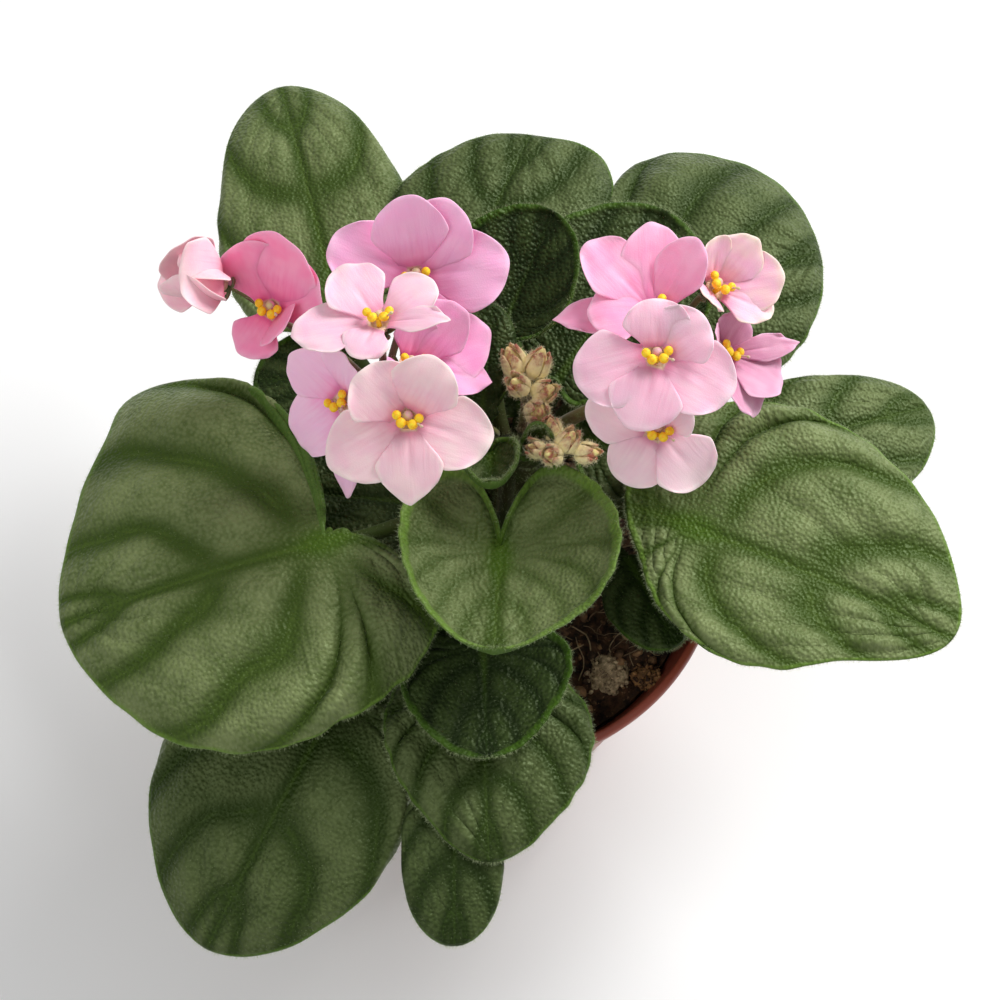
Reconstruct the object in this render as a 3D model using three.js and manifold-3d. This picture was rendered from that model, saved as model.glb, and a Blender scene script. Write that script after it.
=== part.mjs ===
// Potted African violet in a small plastic nursery pot.
// Millimetres, +Z up. The origin is the middle of the pot's underside, on the surface it stands on,
// and the plant's front looks towards -Y.
import * as THREE from 'three';
import { mergeVertices } from 'three/addons/utils/BufferGeometryUtils.js';
import Module from 'manifold-3d';

const wasm = await Module();
wasm.setup();

const { degToRad, smoothstep } = THREE.MathUtils;

// Driving dimensions

const GAP = 0.3;

const POT = {
  height: 100,
  rimRadius: 60,
  footRadius: 39,
  wall: 1.8,
  floor: 2.5,
  collarHeight: 14,
  collarStep: 2,
  holes: 5,
  holeRadius: 4.5,
  holeCircle: 26,
  sides: 36,
};

const SOIL = { top: 91, crumb: 1.6, rings: 3, sides: 36 };

const CROWN = { x: 5, y: 18, radius: 7.5, top: 122, bottom: 80, sides: 12 };

const BLADE_THICKNESS = 1.2;
const PETAL_THICKNESS = 0.65;
const PETIOLE = { rootRadius: 2.3, jointRadius: 1.8, below: 2.1, sag: 0.08, sides: 5, steps: 3 };
const STALK = { radius: 1.7, pedicel: 0.95, sides: 6 };

// Each leaf: base is where the petiole meets the blade, root the height of the petiole on the crown.
// heading, pitch, droop and cup (left side, right side) are in degrees: droop is how far the midrib
// bends down over the leaf's length, and cup how far a side bends up over the half width.
// length is the midrib, and left and right list the distance from the base to the edge at equal
// angles from the tip round to the sinus behind the base; a negative one draws the edge in sooner.
const LEAVES = [
  {
    name: 'leaf_left', base: [-41, -10, 126], root: 109, heading: 196, pitch: 3, droop: 22,
    cup: [-14, -18], half: 50, quilt: 1.9, length: 69, sinus: 8, sectors: 10, rings: 3,
    left: [65, 61, 54, 46, 41, 37, 31, 17], right: [67, 68, 72, 46, -12, 3, 3, 6],
  },
  {
    name: 'leaf_front_left', base: [-38.5, -46, 106], root: 99, heading: 241, pitch: -6, droop: 22,
    cup: [-12, -12], half: 32, quilt: 1.3, length: 68, sinus: 8, sectors: 9, rings: 3,
    left: [52, 34, 22, 16, 10], right: [56, 40, 18, 11, 9],
  },
  {
    name: 'leaf_front_low', base: [-8.5, -69.5, 106], root: 94.5, heading: 270, pitch: -8, droop: 18,
    cup: [-14, -14], half: 14, quilt: 0.7, length: 36, sinus: 6, sectors: 8, rings: 2,
    left: [16, 8, 6], right: [18, 10, 6],
  },
  {
    name: 'leaf_front', base: [-2, -48, 111], root: 102.5, heading: 273, pitch: 0, droop: 20,
    cup: [-12, -12], half: 27, quilt: 1.4, length: 38, sinus: 7, sectors: 9, rings: 3,
    left: [33, 30, 26, 18, 8], right: [30, 26, 24, 20, 11],
  },
  {
    name: 'leaf_front_mid', base: [-1.5, -36, 115], root: 109, heading: 272, pitch: 6, droop: 8,
    cup: [12, 12], half: 20, quilt: 1.0, length: 27, sinus: 4, sectors: 8, rings: 2,
    left: [23, 21, 10], right: [24, 20, 12],
  },
  {
    name: 'leaf_heart', base: [2.5, -16, 130], root: 113, heading: 267, pitch: 8, droop: -14,
    cup: [34, 34], half: 28, quilt: 1.1, length: 29, sinus: 4, sectors: 10, rings: 3,
    left: [28, 28, 30, 31, 31, 30, 29, 25], right: [28, 26, 25, 25, 26, 27, 27, 22],
  },
  {
    name: 'leaf_young', base: [0, 7, 139], root: 118, heading: 273, pitch: 2, droop: -40,
    cup: [70, 70], half: 9, quilt: 0.3, length: 11, sinus: 2, sectors: 5, rings: 2,
    left: [10, 9, 6], right: [10, 9, 6],
  },
  {
    name: 'leaf_right', base: [51, -5.5, 124], root: 108, heading: 336, pitch: 6, droop: 20,
    cup: [-8, 6], half: 40, quilt: 1.8, length: 69, sinus: 18, sectors: 10, rings: 3,
    left: [64, 56, 49, 43, 38, 33, 28, 22], right: [50, 42, 34, 26, 20, 16, 15, 16],
  },
  {
    name: 'leaf_right_low', base: [37, -8.5, 104], root: 102, heading: 297, pitch: 0, droop: 6,
    cup: [0, 0], half: 16, quilt: 0.6, length: 23, sinus: 4, sectors: 5, rings: 2,
    left: [14, 6, 4], right: [16, 8, 6],
  },
  {
    name: 'leaf_right_back', base: [66.5, 20, 111], root: 96, heading: 20, pitch: 0, droop: 16,
    cup: [-10, -10], half: 24, quilt: 1.1, length: 54, sinus: 4, sectors: 8, rings: 2,
    left: [34, 18, 10, 7, 5], right: [42, 26, 14, 8, 6],
  },
  {
    name: 'leaf_back_right', base: [48.5, 61, 112], root: 100, heading: 29, pitch: 4, droop: 18,
    cup: [-14, -14], half: 38, quilt: 1.6, length: 48, sinus: 8, sectors: 9, rings: 3,
    left: [58, 58, 40, 19, 12], right: [38, 30, 20, 7, 6],
  },
  {
    name: 'leaf_back', base: [-6, 72.5, 118], root: 105, heading: 68, pitch: 8, droop: 16,
    cup: [-12, -14], half: 32, quilt: 1.3, length: 46, sinus: 2, sectors: 9, rings: 3,
    left: [38, 31, 20, 12, 8], right: [50, 20, 8, 4, 2],
  },
  {
    name: 'leaf_back_inner', base: [4, 50, 130], root: 112, heading: 65, pitch: 14, droop: -10,
    cup: [26, 40], half: 16, quilt: 0.8, length: 31, sinus: 4, sectors: 6, rings: 2,
    left: [26, 20, 12], right: [21, 11, 6],
  },
  {
    name: 'leaf_back_mid', base: [21, 42, 123], root: 108, heading: 58, pitch: 8, droop: 0,
    cup: [16, 16], half: 24, quilt: 1.0, length: 48, sinus: 7, sectors: 8, rings: 2,
    left: [40, 27, 18, 12, 9], right: [42, 30, 20, 14, 12],
  },
  {
    name: 'leaf_back_left', base: [-41.5, 65, 114], root: 106, heading: 104, pitch: 6, droop: 20,
    cup: [-12, -12], half: 28, quilt: 1.1, length: 75, sinus: 6, sectors: 9, rings: 3,
    left: [47, 31, 22, 12, 8], right: [48, 28, 17, 12, 8],
  },
  {
    name: 'leaf_left_low', base: [-38.5, 45, 104.8], root: 96.5, heading: 174, pitch: -2, droop: 10,
    cup: [0, 0], half: 14, quilt: 0.6, length: 25, sinus: 4, sectors: 5, rings: 2,
    left: [20, 13, 6], right: [20, 12, 6],
  },
  {
    name: 'leaf_upright', base: [-2, 23.5, 131], root: 118, heading: 84, pitch: 18, droop: 10,
    cup: [10, -30], half: 12, quilt: 0.4, length: 28, sinus: 3, sectors: 5, rings: 2,
    left: [10, 4, 3], right: [6, 4, 3],
  },
  {
    name: 'leaf_right_inner', base: [28.5, 23.5, 114], root: 104, heading: 2, pitch: 0, droop: 10,
    cup: [0, 0], half: 15, quilt: 0.8, length: 28, sinus: 6, sectors: 5, rings: 2,
    left: [20, 12, 8], right: [26, 17, 9],
  },
  {
    name: 'leaf_left_inner', base: [-19, 8, 109], root: 103, heading: 174, pitch: 2, droop: 10,
    cup: [0, 0], half: 22, quilt: 0.9, length: 40, sinus: 4, sectors: 6, rings: 2,
    left: [30, 17, 8], right: [35, 24, 11],
  },
  {
    name: 'leaf_back_low', base: [8, 41, 104.5], root: 95, heading: 92, pitch: 2, droop: 8,
    cup: [0, 0], half: 18, quilt: 0.6, length: 26, sinus: 4, sectors: 5, rings: 2,
    left: [20, 15, 8], right: [15, 8, 4],
  },
  {
    name: 'leaf_tiny', base: [12, 11.5, 134], root: 119, heading: 98, pitch: 65, droop: -10,
    cup: [50, 50], half: 8, quilt: 0.2, length: 9, sinus: 2, sectors: 5, rings: 2,
    left: [6, 5, 3], right: [6, 5, 3],
  },
];

// Each bloom: at is the throat, facing the way it looks, and each petal is
// [turn, length, half width, lift, curl], with turn, lift and curl in degrees.
const BLOOMS = [
  {
    name: 'left_1', cluster: 'left', at: [-68, 48.6, 152], facing: [-0.5, -0.3, 0.8],
    petals: [
      [176, 13.5, 7.5, 10, 10], [122, 13, 8, 40, -30], [58, 13, 7.5, 45, -70],
      [4, 12, 8, 45, -10], [262, 15.5, 9.5, 25, -120],
    ],
  },
  {
    name: 'left_2', cluster: 'left', at: [-54.2, 43.9, 147], facing: [-0.35, -0.45, 0.82],
    petals: [
      [100, 17, 8.2, 22, -20], [64, 20, 10, 28, -10], [20, 15, 9.5, 38, 0],
      [316, 9, 6.5, 58, 0], [246, 12.5, 8, 15, 20],
    ],
  },
  {
    name: 'left_3', cluster: 'left', at: [-18, 47, 158], facing: [0.05, -0.55, 0.83],
    petals: [
      [158, 21, 9.5, 15, 10], [98, 19.5, 9.5, 28, 10], [64, 19, 9.5, 20, 10],
      [8, 21, 10.5, 12, 20], [280, 13, 8, 15, 10],
    ],
  },
  {
    name: 'left_4', cluster: 'left', at: [-26, 28, 170], facing: [-0.05, 0.15, 0.98],
    petals: [
      [126, 15, 8, 25, 20], [32, 14, 7, 20, 20], [345, 17, 4, 30, 20],
      [247, 10, 6, 10, 25], [190, 19, 7.5, 5, 10],
    ],
  },
  {
    name: 'left_5', cluster: 'left', at: [-19.5, 26.2, 151], facing: [0.5, -0.05, 0.85],
    petals: [
      [96, 11, 6, 44, 0], [62, 17, 8, 38, 0], [32, 20.5, 10, 18, 0],
      [356, 19, 6, 15, 10], [225, 6, 5, 30, 20],
    ],
  },
  {
    name: 'left_6', cluster: 'left', at: [-19, 4.5, 165], facing: [0, -0.48, 0.88],
    petals: [
      [134, 14.5, 9, 32, 30], [62, 15.5, 8.5, 45, 50], [344, 18.5, 9, 5, 20],
      [272, 18, 8, 5, 20], [211, 19.5, 9.5, 5, 20],
    ],
  },
  {
    name: 'left_7', cluster: 'left', at: [-35.5, 17.5, 149], facing: [-0.6, -0.45, 0.66],
    petals: [
      [135, 15, 7.5, 30, 10], [58, 14, 8, 35, 10], [333, 14, 7, 20, 20],
      [262, 24, 4.5, -5, 20], [214, 18.5, 8.5, 5, 20],
    ],
  },
  {
    name: 'right_1', cluster: 'right', at: [40, 35.5, 161], facing: [-0.1, 0.1, 1],
    petals: [
      [178, 23, 5.5, -5, 0], [132, 22, 8, 20, 10], [88, 20.5, 8.5, 25, 10],
      [50, 18, 7, 30, 0], [186, 14.5, 9, 35, 55], [285, 8, 7, 15, 0],
    ],
  },
  {
    name: 'right_2', cluster: 'right', at: [55.5, 44, 158], facing: [0.45, -0.15, 0.88],
    petals: [
      [118, 12, 5.5, 45, 0], [60, 13, 7, 35, 0], [12, 15, 8, 25, -20],
      [332, 13, 6, 20, 0], [228, 7, 5, 40, 0],
    ],
  },
  {
    name: 'right_3', cluster: 'right', at: [39.5, 19, 169], facing: [0, -0.35, 0.93],
    petals: [
      [92, 12, 8, 40, 50], [36, 12.5, 8, 28, 30], [334, 18, 9.5, 5, 20],
      [254, 16, 9, 5, 20], [195, 18, 9.5, 5, 20],
    ],
  },
  {
    name: 'right_4', cluster: 'right', at: [40.5, 9, 150], facing: [0.05, -0.62, 0.78],
    petals: [
      [158, 17, 7, 15, 10], [96, 10, 7, 35, 10], [36, 9, 5, 55, 40],
      [312, 16, 8.5, 5, 20], [238, 13.5, 8, 5, 20],
    ],
  },
  {
    name: 'right_5', cluster: 'right', at: [58, 31, 148], facing: [0.7, -0.1, 0.7],
    petals: [
      [80, 9, 6.5, 35, 0], [15, 18, 3.5, 35, 0], [334, 15, 8, 32, 10],
      [300, 15, 7, 15, 20], [180, 8, 6, 40, 10],
    ],
  },
];

const COROLLA = { throat: 2.2, tubeRadius: 2.6, tubeLength: 3, sides: 6, rows: 3, columns: 2 };
const ANTHER = { height: 2.5, radius: 1.15, length: 1.7, spread: 1.1 };
const CALYX = { depth: 0.8, inner: 1.8, outer: 4.6, sepals: 5, back: 2 };

// Flower stalks: the foot on the crown, and the fork where the pedicels part.
const FLOWER_STALKS = {
  left: { foot: [1, 24, 116], fork: [-27, 25, 138] },
  right: { foot: [12, 22, 116], fork: [38, 26, 136] },
};

// Bud stalks: where they leave the crown, and each bud's place, the way it looks and its length.
const BUD_STALKS = [
  {
    name: 'bud_stalk_back', foot: [8, 24, 119], fork: [9, 27, 129],
    buds: [
      { at: [8, 31, 136], toward: [-0.2, 0.6, 1], length: 8 },
      { at: [12, 30, 137], toward: [0.5, 0.4, 1], length: 7 },
      { at: [12, 25, 136], toward: [0.6, -0.3, 1], length: 7 },
      { at: [8, 26, 138], toward: [-0.3, -0.1, 1], length: 6 },
    ],
  },
  {
    name: 'bud_stalk_right', foot: [11, 18, 119], fork: [16, 15, 130],
    buds: [
      { at: [17, 18, 136], toward: [-0.1, 0.5, 1], length: 6 },
      { at: [20, 14, 137], toward: [0.5, 0.3, 1], length: 6 },
      { at: [19.5, 10.5, 137.5], toward: [0.2, -0.5, 1], length: 6 },
      { at: [24, 13, 136], toward: [1, -0.2, 0.7], length: 6 },
    ],
  },
];

const COLOURS = {
  pot: 0x96452d,
  soil: 0x3b2a1d,
  crown: 0x5d6b36,
  leaf: 0x3f5a26,
  heart: 0x486a2c,
  stalk: 0x7c6a4a,
  pink: 0xe79ac0,
  pale: 0xf0c6d4,
  rose: 0xd8689a,
  anther: 0xf2c318,
  bud: 0x9a7a58,
};

const PALE_BLOOMS = ['left_4', 'left_6', 'right_2'];
const ROSE_BLOOMS = ['left_2', 'left_5'];

const potted = new THREE.Group();

function addNode(name, geometry, colour, roughness) {
  const material = new THREE.MeshStandardMaterial({ color: colour, roughness, metalness: 0 });
  const mesh = new THREE.Mesh(geometry, material);
  mesh.name = name;
  potted.add(mesh);
}

function toSolid(geometry) {
  const plain = geometry.clone();
  plain.deleteAttribute('normal');
  plain.deleteAttribute('uv');
  const merged = mergeVertices(plain, 1e-4);
  const positions = merged.attributes.position.array;
  const corners = merged.index.array;
  return new wasm.Manifold(new wasm.Mesh({
    numProp: 3,
    vertProperties: new Float32Array(positions),
    triVerts: new Uint32Array(corners),
  }));
}

function toGeometry(solid) {
  const mesh = solid.getMesh();
  const geometry = new THREE.BufferGeometry();
  geometry.setAttribute('position', new THREE.Float32BufferAttribute(mesh.vertProperties, 3));
  geometry.setIndex(new THREE.Uint32BufferAttribute(mesh.triVerts, 1));
  geometry.computeVertexNormals();
  return geometry;
}

function indexed(points, triangles) {
  const geometry = new THREE.BufferGeometry();
  const values = points.flatMap((p) => p.toArray());
  geometry.setAttribute('position', new THREE.Float32BufferAttribute(values, 3));
  geometry.setIndex(triangles.flat());
  return geometry;
}

// Turns an open surface of triangles into a closed sheet: both faces carry the same triangles,
// half a thickness to either side, and a wall runs round the edge.
function thicken(points, triangles, thickness) {
  const places = new Map();
  const shared = [];
  const slot = points.map((point) => {
    const key = point.toArray().map((v) => Math.round(v * 2000)).join();
    if (!places.has(key)) {
      places.set(key, shared.length);
      shared.push(point);
    }
    return places.get(key);
  });
  const faces = triangles
    .map((face) => face.map((corner) => slot[corner]))
    .filter(([a, b, c]) => a !== b && b !== c && c !== a);
  const normals = shared.map(() => new THREE.Vector3());
  for (const [a, b, c] of faces) {
    const normal = shared[b].clone().sub(shared[a]).cross(shared[c].clone().sub(shared[a]));
    normals[a].add(normal);
    normals[b].add(normal);
    normals[c].add(normal);
  }
  normals.forEach((normal) => normal.setLength(thickness / 2));
  const shift = (side) => shared.map((p, i) => p.clone().addScaledVector(normals[i], side));
  const count = shared.length;
  const edges = new Set(faces.flatMap(([a, b, c]) => [`${a},${b}`, `${b},${c}`, `${c},${a}`]));
  const walls = [];
  for (const edge of edges) {
    const [a, b] = edge.split(',').map(Number);
    if (!edges.has(`${b},${a}`)) {
      walls.push([a, a + count, b + count], [a, b + count, b]);
    }
  }
  const under = faces.map(([a, b, c]) => [a + count, c + count, b + count]);
  return indexed([...shift(1), ...shift(-1)], [...faces, ...under, ...walls]);
}

// A closed tube along a list of points, with a radius at each point and a flat end at both ends.
function tube(path, radii, sides) {
  const points = [];
  const triangles = [];
  const along = path.map((p, i) => {
    const next = path[Math.min(i + 1, path.length - 1)];
    const before = path[Math.max(i - 1, 0)];
    return next.clone().sub(before).normalize();
  });
  let across = new THREE.Vector3(0, 0, 1).cross(along[0]);
  if (across.length() < 0.2) {
    across = new THREE.Vector3(1, 0, 0);
  }
  path.forEach((centre, i) => {
    across.addScaledVector(along[i], -across.dot(along[i])).normalize();
    const other = along[i].clone().cross(across);
    for (let k = 0; k < sides; k += 1) {
      const angle = (2 * Math.PI * k) / sides;
      points.push(centre.clone()
        .addScaledVector(across, radii[i] * Math.cos(angle))
        .addScaledVector(other, radii[i] * Math.sin(angle)));
    }
  });
  for (let i = 0; i < path.length - 1; i += 1) {
    for (let k = 0; k < sides; k += 1) {
      const a = i * sides + k;
      const b = i * sides + ((k + 1) % sides);
      triangles.push([a, b, b + sides], [a, b + sides, a + sides]);
    }
  }
  const last = (path.length - 1) * sides;
  for (let k = 1; k < sides - 1; k += 1) {
    triangles.push([0, k + 1, k], [last, last + k, last + k + 1]);
  }
  return indexed(points, triangles);
}

function bend(start, control, end, steps) {
  return new THREE.QuadraticBezierCurve3(start, control, end).getPoints(steps);
}

// Leaf blade

// Smooth curve through equally spaced values that close on themselves.
function ringValue(values, place) {
  const count = values.length;
  const i = Math.floor(place);
  const f = place - i;
  const at = (k) => values[(k + 2 * count) % count];
  const [a, b, c, d] = [at(i - 1), at(i), at(i + 1), at(i + 2)];
  const slope = (c - a) * f;
  const curve = (2 * a - 5 * b + 4 * c - d) * f * f;
  const twist = (3 * b - a - 3 * c + d) * f * f * f;
  return 0.5 * (2 * b + slope + curve + twist);
}

function edgeReach(leaf, side, angle) {
  const own = side > 0 ? leaf.left : leaf.right;
  const other = side > 0 ? leaf.right : leaf.left;
  const ring = [leaf.length, ...own, leaf.sinus, ...[...other].reverse()];
  return Math.max(ringValue(ring, (angle / Math.PI) * (own.length + 1)), 1.2);
}

// Where the side vein that ends at this angle leaves the midrib.
function veinStart(leaf, angle) {
  const share = Math.max(1 - angle / degToRad(95), 0);
  return 0.86 * leaf.length * share ** 1.3;
}

// Chord of an arc of this length that turns by this angle.
function chord(length, turn) {
  const half = turn / 2;
  return Math.abs(half) < 1e-6 ? length : (length * Math.sin(half)) / half;
}

// Puts a point of the flat leaf, with its height above the blade, on the bent and turned leaf.
function onLeaf(leaf, x, y, height) {
  const pitch = degToRad(leaf.pitch);
  const turn = degToRad(leaf.droop) * THREE.MathUtils.clamp(x / leaf.length, -0.5, 1.2);
  const reach = chord(x, turn);
  const ahead = reach * Math.cos(pitch - turn / 2) - height * Math.sin(pitch - turn);
  const up = reach * Math.sin(pitch - turn / 2) + height * Math.cos(pitch - turn);
  const heading = degToRad(leaf.heading);
  return new THREE.Vector3(
    leaf.base[0] + ahead * Math.cos(heading) - y * Math.sin(heading),
    leaf.base[1] + ahead * Math.sin(heading) + y * Math.cos(heading),
    leaf.base[2] + up,
  );
}

// Height of the pillows between the veins: none on a vein or the midrib, and most half way between.
function pillow(leaf, share, angle, y) {
  const between = Math.abs(Math.sin(5 * angle)) ** 0.8;
  const along = THREE.MathUtils.clamp(3.6 * share * (1.15 - share), 0, 1);
  return leaf.quilt * between * along * THREE.MathUtils.clamp(y / 6, 0, 1);
}

// share runs from the midrib (0) to the edge (1), along the veins.
function bladePoint(leaf, side, share, angle) {
  const reach = edgeReach(leaf, side, angle);
  const outX = reach * Math.cos(angle);
  const outY = reach * Math.sin(angle);
  const sweep = 0.35 * share * (1 - share) * outY * Math.sin(Math.min(1.3 * angle, Math.PI));
  const x = (1 - share) * veinStart(leaf, angle) + share * outX - sweep;
  const y = share * outY;
  const turn = (degToRad(side > 0 ? leaf.cup[0] : leaf.cup[1]) * y) / leaf.half;
  const across = chord(y, turn);
  const height = pillow(leaf, share, angle, y) + across * Math.sin(turn / 2);
  return onLeaf(leaf, x, side * across * Math.cos(turn / 2), height);
}

function leafBlade(leaf) {
  const points = [];
  const triangles = [];
  for (const side of [1, -1]) {
    const first = points.length;
    for (let j = 0; j <= leaf.sectors; j += 1) {
      for (let i = 0; i <= leaf.rings; i += 1) {
        points.push(bladePoint(leaf, side, i / leaf.rings, (Math.PI * j) / leaf.sectors));
      }
    }
    for (let j = 0; j < leaf.sectors; j += 1) {
      for (let i = 0; i < leaf.rings; i += 1) {
        const a = first + j * (leaf.rings + 1) + i;
        const b = a + leaf.rings + 1;
        const quad = [[a, a + 1, b + 1], [a, b + 1, b]];
        triangles.push(...(side > 0 ? quad : quad.map(([p, q, r]) => [p, r, q])));
      }
    }
  }
  return thicken(points, triangles, BLADE_THICKNESS);
}

// The petiole rises from the crown, meets the blade at its base and runs out under the midrib.
function petiole(leaf) {
  const base = onLeaf(leaf, 0, 0, -PETIOLE.below);
  const start = new THREE.Vector3(CROWN.x, CROWN.y, leaf.root);
  const outward = base.clone().sub(start).setZ(0).normalize();
  start.addScaledVector(outward, 3);
  const inward = base.clone().sub(onLeaf(leaf, 1, 0, -PETIOLE.below));
  const span = start.distanceTo(base);
  const control = base.clone().addScaledVector(inward, 0.45 * span);
  control.z -= PETIOLE.sag * span;
  const path = bend(start, control, base, PETIOLE.steps);
  const { rootRadius, jointRadius, steps } = PETIOLE;
  const radii = path.map((p, i) => THREE.MathUtils.lerp(rootRadius, jointRadius, i / steps));
  for (const [share, radius] of [[0.15, 1.4], [0.32, 1]]) {
    path.push(onLeaf(leaf, share * leaf.length, 0, -0.8 * radius));
    radii.push(radius);
  }
  return tube(path, radii, PETIOLE.sides);
}

// Crown

function crownSolid(grow) {
  const profile = [
    [0, CROWN.bottom - grow],
    [CROWN.radius + grow, CROWN.bottom - grow],
    [CROWN.radius + grow, CROWN.top - 10],
    [CROWN.radius - 1.5 + grow, CROWN.top - 4],
    [CROWN.radius - 4.5 + grow, CROWN.top + grow],
    [0, CROWN.top + 1 + grow],
  ].map(([r, z]) => new THREE.Vector2(r, z));
  const geometry = new THREE.LatheGeometry(profile, CROWN.sides);
  geometry.rotateX(Math.PI / 2);
  geometry.translate(CROWN.x, CROWN.y, 0);
  return toSolid(geometry);
}

// Pot and potting mix

function potRadius(z) {
  return POT.footRadius + ((POT.rimRadius - POT.collarStep - POT.footRadius) * z) / POT.height;
}

function lathe(profile, sides) {
  const geometry = new THREE.LatheGeometry(profile.map(([r, z]) => new THREE.Vector2(r, z)), sides);
  geometry.rotateX(Math.PI / 2);
  return geometry;
}

function potSolid() {
  const collarFoot = POT.height - POT.collarHeight;
  const outer = [
    [0, 0],
    [POT.footRadius, 0],
    [potRadius(collarFoot), collarFoot],
    [potRadius(collarFoot) + POT.collarStep, collarFoot + 1.5],
    [POT.rimRadius, POT.height - 1],
    [POT.rimRadius - 0.8, POT.height],
    [POT.rimRadius - POT.wall - 0.6, POT.height],
    [potRadius(collarFoot) - POT.wall + POT.collarStep / 2, collarFoot + 3],
    [potRadius(collarFoot) - POT.wall, collarFoot],
    [potRadius(POT.floor) - POT.wall, POT.floor],
    [0, POT.floor],
  ];
  let pot = toSolid(lathe(outer, POT.sides));
  for (let k = 0; k < POT.holes; k += 1) {
    const angle = (2 * Math.PI * k) / POT.holes;
    const hole = new THREE.CylinderGeometry(POT.holeRadius, POT.holeRadius, 3 * POT.floor, 8);
    hole.rotateX(Math.PI / 2);
    hole.translate(POT.holeCircle * Math.cos(angle), POT.holeCircle * Math.sin(angle), 0);
    pot = pot.subtract(toSolid(hole));
  }
  return pot;
}

// Lumps of the mix: a sum of slow waves, level at the wall.
function soilHeight(x, y) {
  const lump = Math.sin(0.31 * x + 1.3) * Math.cos(0.27 * y) + 0.6 * Math.sin(0.19 * x - 0.33 * y);
  return SOIL.top + SOIL.crumb * lump * smoothstep(58 - Math.hypot(x, y), 0, 12);
}

function soilSolid() {
  const collarFoot = POT.height - POT.collarHeight;
  const wallIn = (z) => potRadius(z) - POT.wall - GAP;
  const sides = SOIL.sides;
  const points = [];
  const triangles = [];
  const levels = [[wallIn(POT.floor + GAP), POT.floor + GAP], [wallIn(collarFoot), collarFoot - 1]];
  const rim = wallIn(collarFoot);
  const ring = (radius, height) => {
    for (let k = 0; k < sides; k += 1) {
      const angle = (2 * Math.PI * k) / sides;
      const x = radius * Math.cos(angle);
      const y = radius * Math.sin(angle);
      points.push(new THREE.Vector3(x, y, height(x, y)));
    }
  };
  for (const [radius, z] of levels) {
    ring(radius, () => z);
  }
  for (let i = SOIL.rings; i >= 1; i -= 1) {
    ring((rim * i) / SOIL.rings, soilHeight);
  }
  const rows = levels.length + SOIL.rings;
  for (let i = 0; i < rows - 1; i += 1) {
    for (let k = 0; k < sides; k += 1) {
      const a = i * sides + k;
      const b = i * sides + ((k + 1) % sides);
      triangles.push([a, b, b + sides], [a, b + sides, a + sides]);
    }
  }
  const bottom = points.push(new THREE.Vector3(0, 0, levels[0][1])) - 1;
  const top = points.push(new THREE.Vector3(0, 0, soilHeight(0, 0))) - 1;
  const last = (rows - 1) * sides;
  for (let k = 0; k < sides; k += 1) {
    const next = (k + 1) % sides;
    triangles.push([bottom, next, k], [top, last + k, last + next]);
  }
  return toSolid(indexed(points, triangles)).subtract(crownSolid(GAP));
}

// Blooms

// Right, up and outward directions of a bloom that looks along facing.
function bloomFrame(facing) {
  const out = new THREE.Vector3(...facing).normalize();
  const right = new THREE.Vector3(1, 0, 0).addScaledVector(out, -out.x).normalize();
  const up = out.clone().cross(right);
  return { right, up, out };
}

// A petal is narrow at the throat, widest at six tenths and has a broad round tip.
function petalWidth(halfWidth, share) {
  const spread = 0.16 + 0.84 * smoothstep(share, 0, 0.6);
  return halfWidth * spread * (1 - 0.2 * Math.max((share - 0.55) / 0.45, 0) ** 1.35);
}

// share runs along the petal and v from edge to edge, where the petal is a quarter shorter.
function petalPoint(bloom, petal, share, v) {
  const u = share * (1 - 0.26 * v * v * share);
  const [turn, length, halfWidth, lift, curl] = petal;
  const { right, up, out } = bloomFrame(bloom.facing);
  const bending = degToRad(curl) * u;
  const reach = chord(length * u, bending);
  const slope = degToRad(lift) - bending / 2;
  const ahead = COROLLA.throat + reach * Math.cos(slope);
  const side = petalWidth(halfWidth, share) * v;
  const angle = degToRad(turn);
  return new THREE.Vector3(...bloom.at)
    .addScaledVector(right, ahead * Math.cos(angle) - side * Math.sin(angle))
    .addScaledVector(up, ahead * Math.sin(angle) + side * Math.cos(angle))
    .addScaledVector(out, reach * Math.sin(slope));
}

function petalSheet(bloom, petal) {
  const { rows, columns } = COROLLA;
  const points = [];
  const triangles = [];
  for (let i = 0; i <= rows; i += 1) {
    for (let k = 0; k <= columns; k += 1) {
      points.push(petalPoint(bloom, petal, i / rows, (2 * k) / columns - 1));
    }
  }
  for (let i = 0; i < rows; i += 1) {
    for (let k = 0; k < columns; k += 1) {
      const a = i * (columns + 1) + k;
      const b = a + columns + 1;
      triangles.push([a, b, b + 1], [a, b + 1, a + 1]);
    }
  }
  return thicken(points, triangles, PETAL_THICKNESS);
}

function alongOut(bloom, distance) {
  return new THREE.Vector3(...bloom.at).addScaledVector(bloomFrame(bloom.facing).out, distance);
}

function corolla(bloom) {
  const neck = [alongOut(bloom, -COROLLA.tubeLength), alongOut(bloom, 0.5)];
  let solid = toSolid(tube(neck, [0.7 * COROLLA.tubeRadius, COROLLA.tubeRadius], COROLLA.sides));
  for (const petal of bloom.petals) {
    solid = solid.add(toSolid(petalSheet(bloom, petal)));
  }
  return solid;
}

function antherPair(bloom) {
  const { right, out } = bloomFrame(bloom.facing);
  const foot = [alongOut(bloom, 0.5 + GAP), alongOut(bloom, ANTHER.height)];
  let solid = toSolid(tube(foot, [0.5, 0.6], 3));
  for (const side of [-1, 1]) {
    const sac = new THREE.SphereGeometry(1, 5, 3);
    sac.scale(ANTHER.radius, ANTHER.radius, ANTHER.length);
    sac.lookAt(out.clone().cross(right));
    const centre = alongOut(bloom, ANTHER.height).addScaledVector(right, side * ANTHER.spread);
    sac.translate(...centre.toArray());
    solid = solid.add(toSolid(sac));
  }
  return solid;
}

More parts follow.
